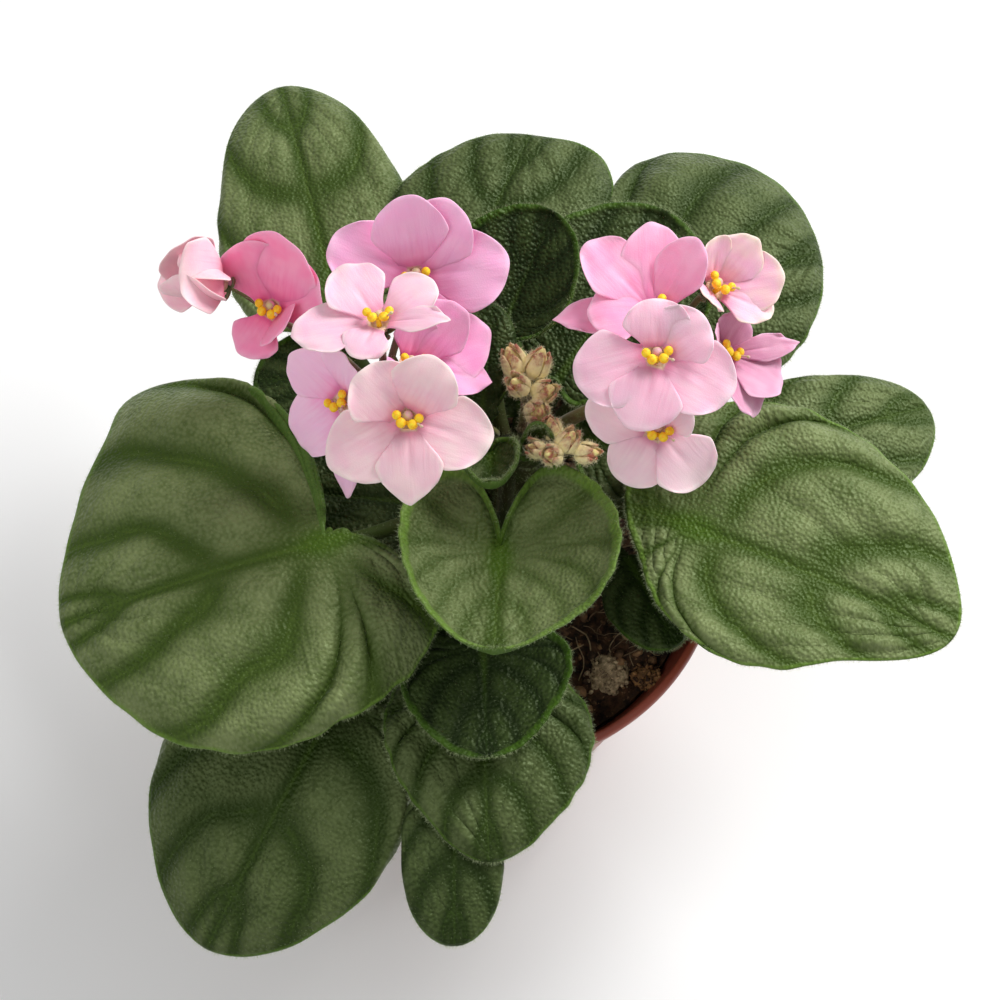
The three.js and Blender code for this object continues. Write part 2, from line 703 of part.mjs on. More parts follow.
// A shallow star of sepals behind the bloom, round the end of the pedicel.
function calyx(bloom) {
  const { right, up, out } = bloomFrame(bloom.facing);
  const back = alongOut(bloom, -COROLLA.tubeLength - GAP - CALYX.back);
  const rimCount = 2 * CALYX.sepals;
  const points = [];
  for (const lower of [0, 1]) {
    points.push(back.clone().addScaledVector(out, 0.8 - 1.2 * lower));
    for (let k = 0; k < rimCount; k += 1) {
      const angle = (2 * Math.PI * k) / rimCount;
      const radius = k % 2 ? CALYX.inner : CALYX.outer;
      const rise = k % 2 ? 0 : CALYX.depth;
      points.push(back.clone()
        .addScaledVector(right, radius * Math.cos(angle))
        .addScaledVector(up, radius * Math.sin(angle))
        .addScaledVector(out, rise + 0.3 - 0.7 * lower));
    }
  }
  const triangles = [];
  const lowerStart = rimCount + 1;
  for (let k = 0; k < rimCount; k += 1) {
    const a = 1 + k;
    const b = 1 + ((k + 1) % rimCount);
    triangles.push([0, a, b], [lowerStart, lowerStart + b, lowerStart + a]);
    triangles.push([a, lowerStart + a, lowerStart + b], [a, lowerStart + b, b]);
  }
  return toSolid(indexed(points, triangles));
}

function flowerStalks(cluster) {
  const { foot, fork } = FLOWER_STALKS[cluster];
  const start = new THREE.Vector3(...foot);
  const split = new THREE.Vector3(...fork);
  const control = start.clone().lerp(split, 0.35).setZ(split.z - 4);
  const main = bend(start, control, split, 4);
  let solid = toSolid(tube(main, main.map(() => STALK.radius), STALK.sides));
  for (const bloom of BLOOMS.filter((b) => b.cluster === cluster)) {
    const bendAt = alongOut(bloom, -COROLLA.tubeLength - 10);
    const path = bend(split, bendAt, alongOut(bloom, -COROLLA.tubeLength - CALYX.back), 2);
    path.push(alongOut(bloom, -COROLLA.tubeLength - GAP));
    solid = solid.add(toSolid(tube(path, path.map(() => STALK.pedicel), 4)));
    solid = solid.add(calyx(bloom));
  }
  return solid.subtract(crownSolid(GAP));
}

// Buds

// A drop shape: round at the stalk, widest at a third, pointed at the tip.
function budSolid(bud) {
  const stations = [[-0.2, 0.14], [0.15, 0.34], [0.6, 0.3], [1, 0.06]];
  const along = new THREE.Vector3(...bud.toward).normalize();
  const path = stations.map(([t]) => new THREE.Vector3(...bud.at).addScaledVector(along, t * bud.length));
  return toSolid(tube(path, stations.map(([, r]) => r * bud.length), 5));
}

function budStalk(spray) {
  const start = new THREE.Vector3(...spray.foot);
  const split = new THREE.Vector3(...spray.fork);
  let solid = toSolid(tube([start, start.clone().lerp(split, 0.5), split], [1.3, 1.2, 1.1], STALK.sides));
  for (const bud of spray.buds) {
    const end = new THREE.Vector3(...bud.at);
    solid = solid.add(toSolid(tube([split, end], [0.8, 0.8], 4)));
    solid = solid.add(budSolid(bud));
  }
  return solid.subtract(crownSolid(GAP));
}

// Assembly

addNode('pot', toGeometry(potSolid()), COLOURS.pot, 0.45);
addNode('soil', toGeometry(soilSolid()), COLOURS.soil, 0.95);
addNode('crown', toGeometry(crownSolid(0)), COLOURS.crown, 0.7);

for (const leaf of LEAVES) {
  const solid = toSolid(leafBlade(leaf)).add(toSolid(petiole(leaf))).subtract(crownSolid(GAP));
  addNode(leaf.name, toGeometry(solid), leaf.name === 'leaf_heart' ? COLOURS.heart : COLOURS.leaf, 0.6);
}

for (const cluster of ['left', 'right']) {
  addNode(`flower_stalks_${cluster}`, toGeometry(flowerStalks(cluster)), COLOURS.stalk, 0.6);
}

for (const bloom of BLOOMS) {
  let colour = COLOURS.pink;
  if (PALE_BLOOMS.includes(bloom.name)) {
    colour = COLOURS.pale;
  }
  if (ROSE_BLOOMS.includes(bloom.name)) {
    colour = COLOURS.rose;
  }
  addNode(`bloom_${bloom.name}`, toGeometry(corolla(bloom)), colour, 0.55);
  addNode(`anthers_${bloom.name}`, toGeometry(antherPair(bloom)), COLOURS.anther, 0.5);
}

for (const spray of BUD_STALKS) {
  addNode(spray.name, toGeometry(budStalk(spray)), COLOURS.bud, 0.7);
}

export default potted;
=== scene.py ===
"""Potted African violet: fine leaves, blooms, buds, hairs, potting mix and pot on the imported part.

Sizes are in millimetres, as in the part's source, and a mesh is put into metres when it is made.
"""
import math

import bpy
import numpy as np
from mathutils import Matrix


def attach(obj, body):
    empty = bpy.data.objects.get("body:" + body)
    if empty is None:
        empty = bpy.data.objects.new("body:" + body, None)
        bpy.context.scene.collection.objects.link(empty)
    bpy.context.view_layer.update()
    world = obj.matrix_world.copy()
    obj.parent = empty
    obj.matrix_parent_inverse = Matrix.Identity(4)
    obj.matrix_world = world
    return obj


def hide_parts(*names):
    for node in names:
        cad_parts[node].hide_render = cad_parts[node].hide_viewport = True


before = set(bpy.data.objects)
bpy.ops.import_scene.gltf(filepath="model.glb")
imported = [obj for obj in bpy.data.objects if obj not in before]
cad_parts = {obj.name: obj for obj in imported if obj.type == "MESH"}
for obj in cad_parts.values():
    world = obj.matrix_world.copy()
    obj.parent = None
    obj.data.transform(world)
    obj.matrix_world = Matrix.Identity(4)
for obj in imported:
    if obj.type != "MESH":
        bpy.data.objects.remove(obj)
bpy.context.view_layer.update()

MM = 0.001
SEED = 7
BODY = "root"

# Driving dimensions, the same as in the part's source

POT = dict(
    height=100, rim_radius=60, foot_radius=39, wall=1.8, floor=2.5, collar_height=14,
    collar_step=2, holes=5, hole_radius=4.5, hole_circle=26,
)
SOIL_TOP = 91
CROWN = dict(x=5, y=18, radius=7.5, top=122, bottom=80)
BLADE_HALF_THICKNESS = 0.6
PETAL_HALF_THICKNESS = 0.26
PETIOLE = dict(root_radius=2.3, joint_radius=1.8, below=2.1, sag=0.08)
COROLLA = dict(throat=2.2, tube_length=3)
ANTHER_HEIGHT = 2.7

# Steps round the edge and out to it on each side of a blade, more of them where its length and
# half width together pass LARGE_FROM
LARGE_FROM = 60
LARGE_BLADE = (88, 34)
SMALL_BLADE = (54, 22)

# Points along and across a petal, and across and round the mix
PETAL_GRID = (19, 29)
SOIL_GRID = (60, 190)

# Points closer than this become one; the shift keeps round numbers off the cells' edges
WELD_CELL = 0.002
WELD_SHIFT = 0.137

# Heights on a blade: the pillows and the rows across them where its quilt is 1, the pebbles, the
# broad swells, the ripple of the margin, and the groove along the midrib with its half width
RELIEF = dict(
    pillow=2.7, row=0.5, pebble=0.12, swell=0.9, ripple=0.3, groove=0.85, groove_width=1.1,
)

# Heights on a petal: the upper layer over the lower, the rim's slow and fast waves, the wave of
# the tip and the crease along the middle. The bowl is a share of the half width.
PETAL_RELIEF = dict(layer=0.7, ruffle=0.55, fine=0.2, tip=0.35, crease=0.3, bowl=0.09)

# Hairs at each point of a rim and on each square millimetre of a blade, and how deep each stands
RIM_HAIRS = 13
BLADE_HAIRS = 0.32
HAIR_SUNK = 0.1

# The hairs of the other places: how many (a leaf's depend on its size), how far they lean, their
# length and radius, how far out they start, and whether their lengths vary
FUZZ = {
    "petiole": dict(lean=0.3, length=1.0, radius=0.025),
    "blade": dict(lean=0.5, length=0.5, radius=0.022, lift=BLADE_HALF_THICKNESS),
    "stalks": dict(count=1100, lean=0.35, length=1.0, radius=0.035, vary=True),
    "calyces": dict(count=900, lean=0.35, length=0.9, radius=0.035, vary=True),
    "bud_sepals": dict(count=3000, lean=0.5, length=1.1, radius=0.045),
    "bud_stems": dict(count=700, lean=0.4, length=1.0, radius=0.035),
    "crown": dict(count=900, lean=0.4, length=1.0, radius=0.035),
}

# Crumbs and fibres on the mix, the points of a fibre, and how far from the middle they all lie
CRUMBS = 760
FIBRES = 170
FIBRE_POINTS = 9
SOIL_REACH = 51.5

# Each leaf: base is where the petiole meets the blade and root is the petiole's height on the
# crown. heading, pitch, droop and cup (left side, right side) are in degrees. length is the
# midrib, and left and right are the distances from the base to the edge at equal angles from
# the tip round to the sinus behind the base.
LEAVES = {
    "leaf_left": dict(
        base=(-41, -10, 126), root=109, heading=196, pitch=3, droop=22, cup=(-14, -18),
        half=50, quilt=1.9, length=69, sinus=8,
        left=(65, 61, 54, 46, 41, 37, 31, 17),
        right=(67, 68, 72, 46, -12, 3, 3, 6),
    ),
    "leaf_front_left": dict(
        base=(-38.5, -46, 106), root=99, heading=241, pitch=-6, droop=22, cup=(-12, -12),
        half=32, quilt=1.3, length=68, sinus=8,
        left=(52, 34, 22, 16, 10),
        right=(56, 40, 18, 11, 9),
    ),
    "leaf_front_low": dict(
        base=(-8.5, -69.5, 106), root=94.5, heading=270, pitch=-8, droop=18, cup=(-14, -14),
        half=14, quilt=0.7, length=36, sinus=6, left=(16, 8, 6), right=(18, 10, 6),
    ),
    "leaf_front": dict(
        base=(-2, -48, 111), root=102.5, heading=273, pitch=0, droop=20, cup=(-12, -12),
        half=27, quilt=1.4, length=38, sinus=7,
        left=(33, 30, 26, 18, 8),
        right=(30, 26, 24, 20, 11),
    ),
    "leaf_front_mid": dict(
        base=(-1.5, -36, 115), root=109, heading=272, pitch=6, droop=8, cup=(12, 12),
        half=20, quilt=1.0, length=27, sinus=4, left=(23, 21, 10), right=(24, 20, 12),
    ),
    "leaf_heart": dict(
        base=(2.5, -16, 130), root=113, heading=267, pitch=8, droop=-14, cup=(34, 34),
        half=28, quilt=1.1, length=29, sinus=4,
        left=(28, 28, 30, 31, 31, 30, 29, 25),
        right=(28, 26, 25, 25, 26, 27, 27, 22),
    ),
    "leaf_young": dict(
        base=(0, 7, 139), root=118, heading=273, pitch=2, droop=-40, cup=(70, 70),
        half=9, quilt=0.3, length=11, sinus=2, left=(10, 9, 6), right=(10, 9, 6),
    ),
    "leaf_right": dict(
        base=(51, -5.5, 124), root=108, heading=336, pitch=6, droop=20, cup=(-8, 6),
        half=40, quilt=1.8, length=69, sinus=18,
        left=(64, 56, 49, 43, 38, 33, 28, 22),
        right=(50, 42, 34, 26, 20, 16, 15, 16),
    ),
    "leaf_right_low": dict(
        base=(37, -8.5, 104), root=102, heading=297, pitch=0, droop=6, cup=(0, 0),
        half=16, quilt=0.6, length=23, sinus=4, left=(14, 6, 4), right=(16, 8, 6),
    ),
    "leaf_right_back": dict(
        base=(66.5, 20, 111), root=96, heading=20, pitch=0, droop=16, cup=(-10, -10),
        half=24, quilt=1.1, length=54, sinus=4, left=(34, 18, 10, 7, 5), right=(42, 26, 14, 8, 6),
    ),
    "leaf_back_right": dict(
        base=(48.5, 61, 112), root=100, heading=29, pitch=4, droop=18, cup=(-14, -14),
        half=38, quilt=1.6, length=48, sinus=8, left=(58, 58, 40, 19, 12), right=(38, 30, 20, 7, 6),
    ),
    "leaf_back": dict(
        base=(-6, 72.5, 118), root=105, heading=68, pitch=8, droop=16, cup=(-12, -14),
        half=32, quilt=1.3, length=46, sinus=2, left=(38, 31, 20, 12, 8), right=(50, 20, 8, 4, 2),
    ),
    "leaf_back_inner": dict(
        base=(4, 50, 130), root=112, heading=65, pitch=14, droop=-10, cup=(26, 40),
        half=16, quilt=0.8, length=31, sinus=4, left=(26, 20, 12), right=(21, 11, 6),
    ),
    "leaf_back_mid": dict(
        base=(21, 42, 123), root=108, heading=58, pitch=8, droop=0, cup=(16, 16),
        half=24, quilt=1.0, length=48, sinus=7,
        left=(40, 27, 18, 12, 9),
        right=(42, 30, 20, 14, 12),
    ),
    "leaf_back_left": dict(
        base=(-41.5, 65, 114), root=106, heading=104, pitch=6, droop=20, cup=(-12, -12),
        half=28, quilt=1.1, length=75, sinus=6, left=(47, 31, 22, 12, 8), right=(48, 28, 17, 12, 8),
    ),
    "leaf_left_low": dict(
        base=(-38.5, 45, 104.8), root=96.5, heading=174, pitch=-2, droop=10, cup=(0, 0),
        half=14, quilt=0.6, length=25, sinus=4, left=(20, 13, 6), right=(20, 12, 6),
    ),
    "leaf_upright": dict(
        base=(-2, 23.5, 131), root=118, heading=84, pitch=18, droop=10, cup=(10, -30),
        half=12, quilt=0.4, length=28, sinus=3, left=(10, 4, 3), right=(6, 4, 3),
    ),
    "leaf_right_inner": dict(
        base=(28.5, 23.5, 114), root=104, heading=2, pitch=0, droop=10, cup=(0, 0),
        half=15, quilt=0.8, length=28, sinus=6, left=(20, 12, 8), right=(26, 17, 9),
    ),
    "leaf_left_inner": dict(
        base=(-19, 8, 109), root=103, heading=174, pitch=2, droop=10, cup=(0, 0),
        half=22, quilt=0.9, length=40, sinus=4, left=(30, 17, 8), right=(35, 24, 11),
    ),
    "leaf_back_low": dict(
        base=(8, 41, 104.5), root=95, heading=92, pitch=2, droop=8, cup=(0, 0),
        half=18, quilt=0.6, length=26, sinus=4, left=(20, 15, 8), right=(15, 8, 4),
    ),
    "leaf_tiny": dict(
        base=(12, 11.5, 134), root=119, heading=98, pitch=65, droop=-10, cup=(50, 50),
        half=8, quilt=0.2, length=9, sinus=2, left=(6, 5, 3), right=(6, 5, 3),
    ),
}

# Each bloom: at is its throat, and facing the way it looks. Each petal is its turn round the
# throat, length, half width, lift and curl, with the angles in degrees.
BLOOMS = {
    "left_1": dict(
        at=(-68, 48.6, 152), facing=(-0.5, -0.3, 0.8),
        petals=(
            (176, 13.5, 7.5, 15, 0), (122, 13.5, 8.5, 38, -55), (58, 14, 8.5, 50, -95),
            (4, 16, 9.5, 48, -105), (262, 15.5, 9.5, 48, -105),
        ),
    ),
    "left_2": dict(
        at=(-54.2, 43.9, 147), facing=(-0.35, -0.45, 0.82),
        petals=(
            (102, 17.5, 10, 22, -20), (64, 20.5, 11.5, 26, -10), (22, 17, 11, 20, -10),
            (316, 10, 7, 50, 0), (240, 11.5, 7, 18, 10),
        ),
    ),
    "left_3": dict(
        at=(-18, 47, 158), facing=(0.05, -0.55, 0.83),
        petals=(
            (158, 21, 9.5, 15, 10), (98, 19.5, 9.5, 28, 10), (64, 19, 9.5, 20, 10),
            (8, 21, 10.5, 12, 20), (280, 13, 8, 15, 10),
        ),
    ),
    "left_4": dict(
        at=(-26, 28, 170), facing=(-0.05, 0.15, 0.98),
        petals=(
            (126, 15, 8, 25, 20), (32, 14, 7, 20, 20), (345, 17, 4, 30, 20),
            (247, 10, 6, 10, 25), (190, 19, 7.5, 5, 10),
        ),
    ),
    "left_5": dict(
        at=(-19.5, 26.2, 151), facing=(0.5, -0.05, 0.85),
        petals=(
            (96, 11, 6, 44, 0), (62, 17, 8, 38, 0), (32, 20.5, 10, 18, 0),
            (356, 19, 6, 15, 10), (225, 6, 5, 30, 20),
        ),
    ),
    "left_6": dict(
        at=(-19, 4.5, 165), facing=(0, -0.48, 0.88),
        petals=(
            (134, 14.5, 9, 32, 30), (62, 15.5, 8.5, 45, 50), (344, 18.5, 9, 5, 20),
            (272, 18, 8, 5, 20), (211, 19.5, 9.5, 5, 20),
        ),
    ),
    "left_7": dict(
        at=(-35.5, 17.5, 149), facing=(-0.6, -0.45, 0.66),
        petals=(
            (135, 15, 7.5, 30, 10), (58, 14, 8, 35, 10), (333, 14, 7, 20, 20),
            (262, 24, 4.5, -5, 20), (214, 18.5, 8.5, 5, 20),
        ),
    ),
    "right_1": dict(
        at=(40, 35.5, 161), facing=(-0.1, 0.1, 1),
        petals=(
            (178, 23, 5.5, -5, 0), (132, 22, 8, 20, 10), (88, 20.5, 8.5, 25, 10),
            (50, 18, 7, 30, 0), (186, 14.5, 9, 35, 55), (285, 8, 7, 15, 0),
        ),
    ),
    "right_2": dict(
        at=(55.5, 44, 158), facing=(0.45, -0.15, 0.88),
        petals=(
            (118, 12, 5.5, 45, 0), (60, 13, 7, 35, 0), (12, 15, 8, 25, -20),
            (332, 13, 6, 20, 0), (228, 7, 5, 40, 0),
        ),
    ),
    "right_3": dict(
        at=(39.5, 19, 169), facing=(0, -0.35, 0.93),
        petals=(
            (92, 12, 8, 40, 50), (36, 12.5, 8, 28, 30), (334, 18, 9.5, 5, 20),
            (254, 16, 9, 5, 20), (195, 18, 9.5, 5, 20),
        ),
    ),
    "right_4": dict(
        at=(40.5, 9, 150), facing=(0.05, -0.62, 0.78),
        petals=(
            (158, 17, 7, 15, 10), (96, 10, 7, 35, 10), (36, 9, 5, 55, 40),
            (312, 16, 8.5, 5, 20), (238, 13.5, 8, 5, 20),
        ),
    ),
    "right_5": dict(
        at=(58, 31, 148), facing=(0.7, -0.1, 0.7),
        petals=(
            (80, 9, 6.5, 35, 0), (15, 18, 3.5, 35, 0), (334, 15, 8, 32, 10),
            (300, 15, 7, 15, 20), (180, 8, 6, 40, 10),
        ),
    ),
}

# How light each leaf is, from 0 for the dark ones to 1 for the light ones. The tones are partly
# each leaf's own green and partly painted light and shade, darkest for the deep leaves in shadow.
LEAF_TONES = {
    "leaf_left": 0.75, "leaf_front_left": 0.3, "leaf_front_low": 0.15, "leaf_front": 0.3,
    "leaf_front_mid": 0, "leaf_heart": 0.72, "leaf_young": 0.35, "leaf_right": 0.8,
    "leaf_right_back": 0.6, "leaf_back_right": 0.35, "leaf_back": 0.32, "leaf_back_mid": 0.08,
    "leaf_back_left": 0.65, "leaf_back_inner": 0, "leaf_right_inner": 0.3, "leaf_tiny": 0.3,
}
USUAL_TONE = 0.08

# How far each leaf's margin turns up, in millimetres; the others turn down a little.
RAISED_MARGINS = {
    "leaf_heart": 2.4, "leaf_front_mid": 1.8, "leaf_young": 1.6, "leaf_back_mid": 1.4,
    "leaf_left_low": 1.0, "leaf_right": 0.6, "leaf_back_inner": 1.2, "leaf_tiny": 0.8,
    "leaf_right_inner": 1.0,
}
USUAL_MARGIN = -0.4

# Share of the usual depth of the veins, in the leaves where they are shallower.
VEIN_DEPTHS = {"leaf_heart": 0.4, "leaf_young": 0.5}

# Colours of the leaves at tone 0 and at tone 1, and those that are the same on every leaf. The
# shaded hollow colour is painted shade in the hollows between the pillows, the pillow colour is
# the leaf's green with a painted sheen on their crests, and the glint speckle colour is painted
# glints on the crests.
LEAF_SHADES = {
    "shaded_hollow": ((15, 29, 3), (60, 80, 24)), "pillow": ((38, 52, 18), (122, 134, 86)),
    "glint_speckle": ((70, 86, 44), (146, 156, 112)), "vein": ((38, 58, 14), (86, 108, 42)),
    "margin": ((56, 86, 16), (108, 140, 54)),
}
RIB_COLOUR, HEART_COLOUR, UNDER_COLOUR = (66, 90, 24), (60, 88, 12), (72, 98, 38)

# Body, deep, rim and throat colours of each bloom's petals, and the slot that they belong to. The
# colours of left_2, left_3 and left_7 are partly painted light, lighter than their own pink to make
# up for the shade that falls on them, and those of right_5 are partly painted shade.
BLOOM_COLOURS = {
    "left_1": ((253, 192, 208), (240, 150, 180), (254, 218, 218), (222, 122, 154), "petal_pink"),
    "left_2": ((255, 142, 186), (246, 106, 162), (255, 182, 208), (222, 84, 146), "petal_rose"),
    "left_3": ((255, 180, 220), (246, 142, 198), (255, 198, 226), (222, 108, 172), "petal_pink"),
    "left_4": ((247, 192, 214), (238, 166, 196), (250, 220, 220), (228, 146, 180), "petal_pale"),
    "left_5": ((252, 158, 208), (228, 98, 164), (252, 188, 218), (190, 54, 122), "petal_rose"),
    "left_6": ((245, 198, 210), (234, 162, 184), (250, 226, 220), (216, 124, 154), "petal_pale"),
    "left_7": ((255, 200, 230), (246, 150, 202), (255, 208, 228), (220, 108, 166), "petal_pink"),
    "right_1": ((250, 158, 196), (238, 130, 178), (252, 194, 218), (216, 108, 160), "petal_pink"),
    "right_2": ((250, 190, 216), (234, 148, 186), (250, 228, 206), (216, 116, 150), "petal_pale"),
    "right_3": ((248, 190, 212), (234, 152, 186), (248, 212, 222), (212, 116, 156), "petal_pink"),
    "right_4": ((252, 212, 222), (238, 176, 200), (253, 226, 226), (212, 124, 160), "petal_pink"),
    "right_5": ((208, 140, 172), (190, 108, 148), (234, 184, 206), (184, 88, 138), "petal_pink"),
}

# Petals with a pointed tip, by bloom and number.
POINTED = {
    ("left_6", 3): 0.45, ("right_1", 0): 0.9, ("right_5", 1): 0.9, ("left_5", 3): 0.4,
    ("left_4", 2): 0.5, ("left_4", 4): 0.3,
}

FLOWER_STALKS = {
    "left": dict(foot=(1, 24, 116), fork=(-27, 25, 138)),
    "right": dict(foot=(12, 22, 116), fork=(38, 26, 136)),
}

# Buds of each stalk: its place, the way it looks and its length.
BUD_STALKS = {
    "bud_stalk_back": dict(
        foot=(8, 24, 119), fork=(9, 27, 129),
        buds=(
            ((7, 32.5, 136), (-0.4, 0.5, 1), 8), ((11, 31.5, 137), (0.4, 0.5, 1), 8),
            ((12.5, 26, 136), (0.6, -0.2, 1), 7), ((8, 26.5, 138), (-0.4, -0.1, 1), 6.5),
            ((11.5, 21.5, 135), (0.2, -0.5, 1), 7.5),
        ),
    ),
    "bud_stalk_right": dict(
        foot=(11, 18, 119), fork=(16, 15, 130),
        buds=(
            ((15.5, 14.5, 136), (-0.1, 0.4, 1), 6), ((18.5, 11, 137), (0.4, 0.2, 1), 6.5),
            ((16, 8.5, 137), (-0.4, -0.4, 1), 6), ((22.5, 9.5, 136), (0.9, -0.3, 0.7), 6),
            ((12.5, 10, 136.5), (-0.7, -0.1, 0.9), 5),
        ),
    ),
}

# Two heaps of clods on the mix: centre, reach and how many crumbs lie on each.
HEAPS = {
    "pale_lump": ((30.2, -33, 90.5), (4.9, 4.6, 4.2), 70),
    "golden_lump": ((40.2, -33.2, 90.2), (3.6, 3.0, 2.6), 60),
}

# The floor, the camera, each soft box's place, size and power, the place they look at, and the
# strength of the white room. These are in metres.
FLOOR = dict(size=6, brightness=0.92)
CAMERA = dict(place=(0.00261, -0.21704, 0.61636), elevation=66.0, lens=77.22)
LIGHTS = {"key": ((0.75, 0.62, 0.85), 0.55, 17.0), "fill": ((-0.6, -0.5, 0.9), 0.8, 3.6)}
LIGHT_AIM = (0.0, 0.01, 0.12)
ROOM_LIGHT = 0.42


# Small mathematics


def unit(vectors):
    """The same directions with length one: each vector divided by its length."""
    vectors = np.asarray(vectors, float)
    return vectors / np.maximum(np.linalg.norm(vectors, axis=-1, keepdims=True), 1e-9)


def smooth(value, low, high):
    """0 below low, 1 above high, and 3 t squared minus 2 t cubed between them."""
    t = np.clip((value - low) / (high - low), 0, 1)
    return t * t * (3 - 2 * t)


def chord(length, turn):
    """Straight distance across an arc: its length times the sine of half its turn, divided by
    half its turn."""
    return length * np.sinc(turn / 2 / np.pi)


def lattice(cells, seed):
    """A fixed random number from 0 to 1 for each whole-number cell, by mixing its three numbers."""
    mixed = cells @ np.array((374761393, 668265263, 1442695041)) + seed * 974634777
    mixed = (mixed ^ (mixed >> 13)) * 1274126177
    return ((mixed ^ (mixed >> 16)) & 0xFFFFFF) / 0xFFFFFF


def lumps(points, size, seed):
    """Smooth random height from -1 to 1, in lumps of this size: each corner of a cubic cell has a
    random value, and a point blends the eight round it by the smooth step of its place."""
    place = np.asarray(points, float) / size
    cell = np.floor(place).astype(np.int64)
    share = place - cell
    share = share * share * (3 - 2 * share)
    total = 0
    for corner in np.ndindex(2, 2, 2):
        weight = np.prod(np.where(corner, share, 1 - share), axis=-1)
        total = total + weight * lattice(cell + np.array(corner), seed)
    return 2 * total - 1


def flat_place(x, y, depth=0.0):
    """Points with a third coordinate that is the same all over, for lumps on a surface."""
    return np.stack([x, y, np.full_like(x, depth)], axis=-1)


# Meshes


def grid_faces(rows, columns, closed=False):
    """Two triangles for each cell of a grid of points kept row by row. Closed joins the last
    column to the first."""
    i = np.arange(rows - 1)[:, None]
    k = np.arange(columns if closed else columns - 1)[None, :]
    a = i * columns + k
    b = i * columns + (k + 1) % columns
    c, d = a + columns, b + columns
    return np.concatenate([
        np.stack([a, b, d], axis=-1).reshape(-1, 3),
        np.stack([a, d, c], axis=-1).reshape(-1, 3),
    ])


def weld(points, faces, values):
    """Merges the points that lie at one place, and drops the faces that this closes up. values
    holds arrays with one number or row for each point."""
    keys = np.round(points / WELD_CELL + WELD_SHIFT).astype(np.int64)
    _, first, merged = np.unique(keys, axis=0, return_index=True, return_inverse=True)
    faces = merged.ravel()[faces]
    a, b, c = faces.T
    faces = faces[(a != b) & (b != c) & (c != a)]
    return points[first], faces, {name: value[first] for name, value in values.items()}


def face_normals(points, faces):
    """Cross product of two sides of each face, twice as long as the face's area."""
    a, b, c = (points[faces[:, k]] for k in range(3))
    return np.cross(b - a, c - a)


def point_normals(points, faces):
    """Sum of the normals of the faces round each point, made one long."""
    square = face_normals(points, faces)
    total = np.zeros_like(points)
    for k in range(3):
        np.add.at(total, faces[:, k], square)
    return unit(total)


def thicken(points, faces, values, half):
    """Closed sheet round an open surface: every point is moved by half, along its normal, to
    each side, and a wall with a middle line pushed outwards rounds the rim. Returns the points,
    the faces, the values with "under" added (0 above, 1 below), and the rim's middle line as
    its points, outward directions and surface normals."""
    normals = point_normals(points, faces)
    half = np.broadcast_to(half, len(points))
    edges = np.concatenate([faces[:, [0, 1]], faces[:, [1, 2]], faces[:, [2, 0]]])
    count = len(points)
    there = edges[:, 0] * count + edges[:, 1]
    back = edges[:, 1] * count + edges[:, 0]
    rim = edges[~np.isin(there, back)]
    sideways = np.cross(points[rim[:, 1]] - points[rim[:, 0]], normals[rim[:, 0]])
    outward = np.zeros_like(points)
    np.add.at(outward, rim[:, 0], sideways)
    np.add.at(outward, rim[:, 1], sideways)
    ids = np.unique(rim)
    outward = unit(outward[ids])
    middle = points[ids] + outward * half[ids, None]
    slot = np.zeros(count, int)
    slot[ids] = 2 * count + np.arange(len(ids))
    a, b = rim.T
    c, d = slot[a], slot[b]
    walls = np.concatenate([
        np.stack([b, a, c], axis=1),
        np.stack([b, c, d], axis=1),
        np.stack([d, c, a + count], axis=1),
        np.stack([d, a + count, b + count], axis=1),
    ])
    shift = normals * half[:, None]
    closed = np.concatenate([points + shift, points - shift, middle])
    all_faces = np.concatenate([faces, faces[:, ::-1] + count, walls])
    spread = {name: np.concatenate([value, value, value[ids]]) for name, value in values.items()}
    spread["under"] = np.concatenate([np.zeros(count), np.ones(count), np.full(len(ids), 0.5)])
    return closed, all_faces, spread, (middle, outward, normals[ids])


def tube(path, radii, sides):
    """Round tube: a circle of each radius square to the path, turned with it as little as
    possible, and a point at both ends. Returns points, faces and the share along the path."""
    path = np.asarray(path, float)
    radii = np.broadcast_to(radii, len(path))
    along = unit(np.gradient(path, axis=0))
    across = np.cross((0, 0, 1), along[0])
    if np.linalg.norm(across) < 0.2:
        across = np.array((1.0, 0, 0))
    frames = []
    for direction in along:
        across = unit(across - direction * (across @ direction))
        frames.append((across, np.cross(direction, across)))
    frames = np.array(frames)
    angle = np.linspace(0, 2 * np.pi, sides, endpoint=False)
    cosine, sine = np.cos(angle)[None, :, None], np.sin(angle)[None, :, None]
    circle = cosine * frames[:, None, 0] + sine * frames[:, None, 1]
    rings = path[:, None] + radii[:, None, None] * circle
    points = np.concatenate([rings.reshape(-1, 3), path[:1], path[-1:]])
    first, last = len(points) - 2, len(points) - 1
    k = np.arange(sides)
    after = (k + 1) % sides
    top = (len(path) - 1) * sides
    faces = np.concatenate([
        grid_faces(len(path), sides, closed=True),
        np.stack([np.full(sides, first), after, k], axis=1),
        np.stack([np.full(sides, last), top + k, top + after], axis=1),
    ])
    share = np.concatenate([np.repeat(np.linspace(0, 1, len(path)), sides), [0, 1]])
    return points, faces, share


def turned(profile, sides):
    """Surface of revolution about Z: a closed ring of (radius, height) pairs, the inside of the
    wall included, carried round the circle. Points on the axis are one point."""
    profile = np.asarray(profile, float)
    angle = np.linspace(0, 2 * np.pi, sides, endpoint=False)
    radius, height = profile.T
    points = np.stack([
        radius[:, None] * np.cos(angle),
        radius[:, None] * np.sin(angle),
        np.repeat(height[:, None], sides, axis=1),
    ], axis=-1).reshape(-1, 3)
    points, faces, _ = weld(points, grid_faces(len(profile), sides, closed=True), {})
    return points, faces


def bend(start, control, end, steps):
    """Quadratic curve: the point at share t is (1-t)^2 start + 2t(1-t) control + t^2 end."""
    t = np.linspace(0, 1, steps + 1)[:, None]
    start, control, end = (np.asarray(p, float) for p in (start, control, end))
    return (1 - t) ** 2 * start + 2 * t * (1 - t) * control + t**2 * end


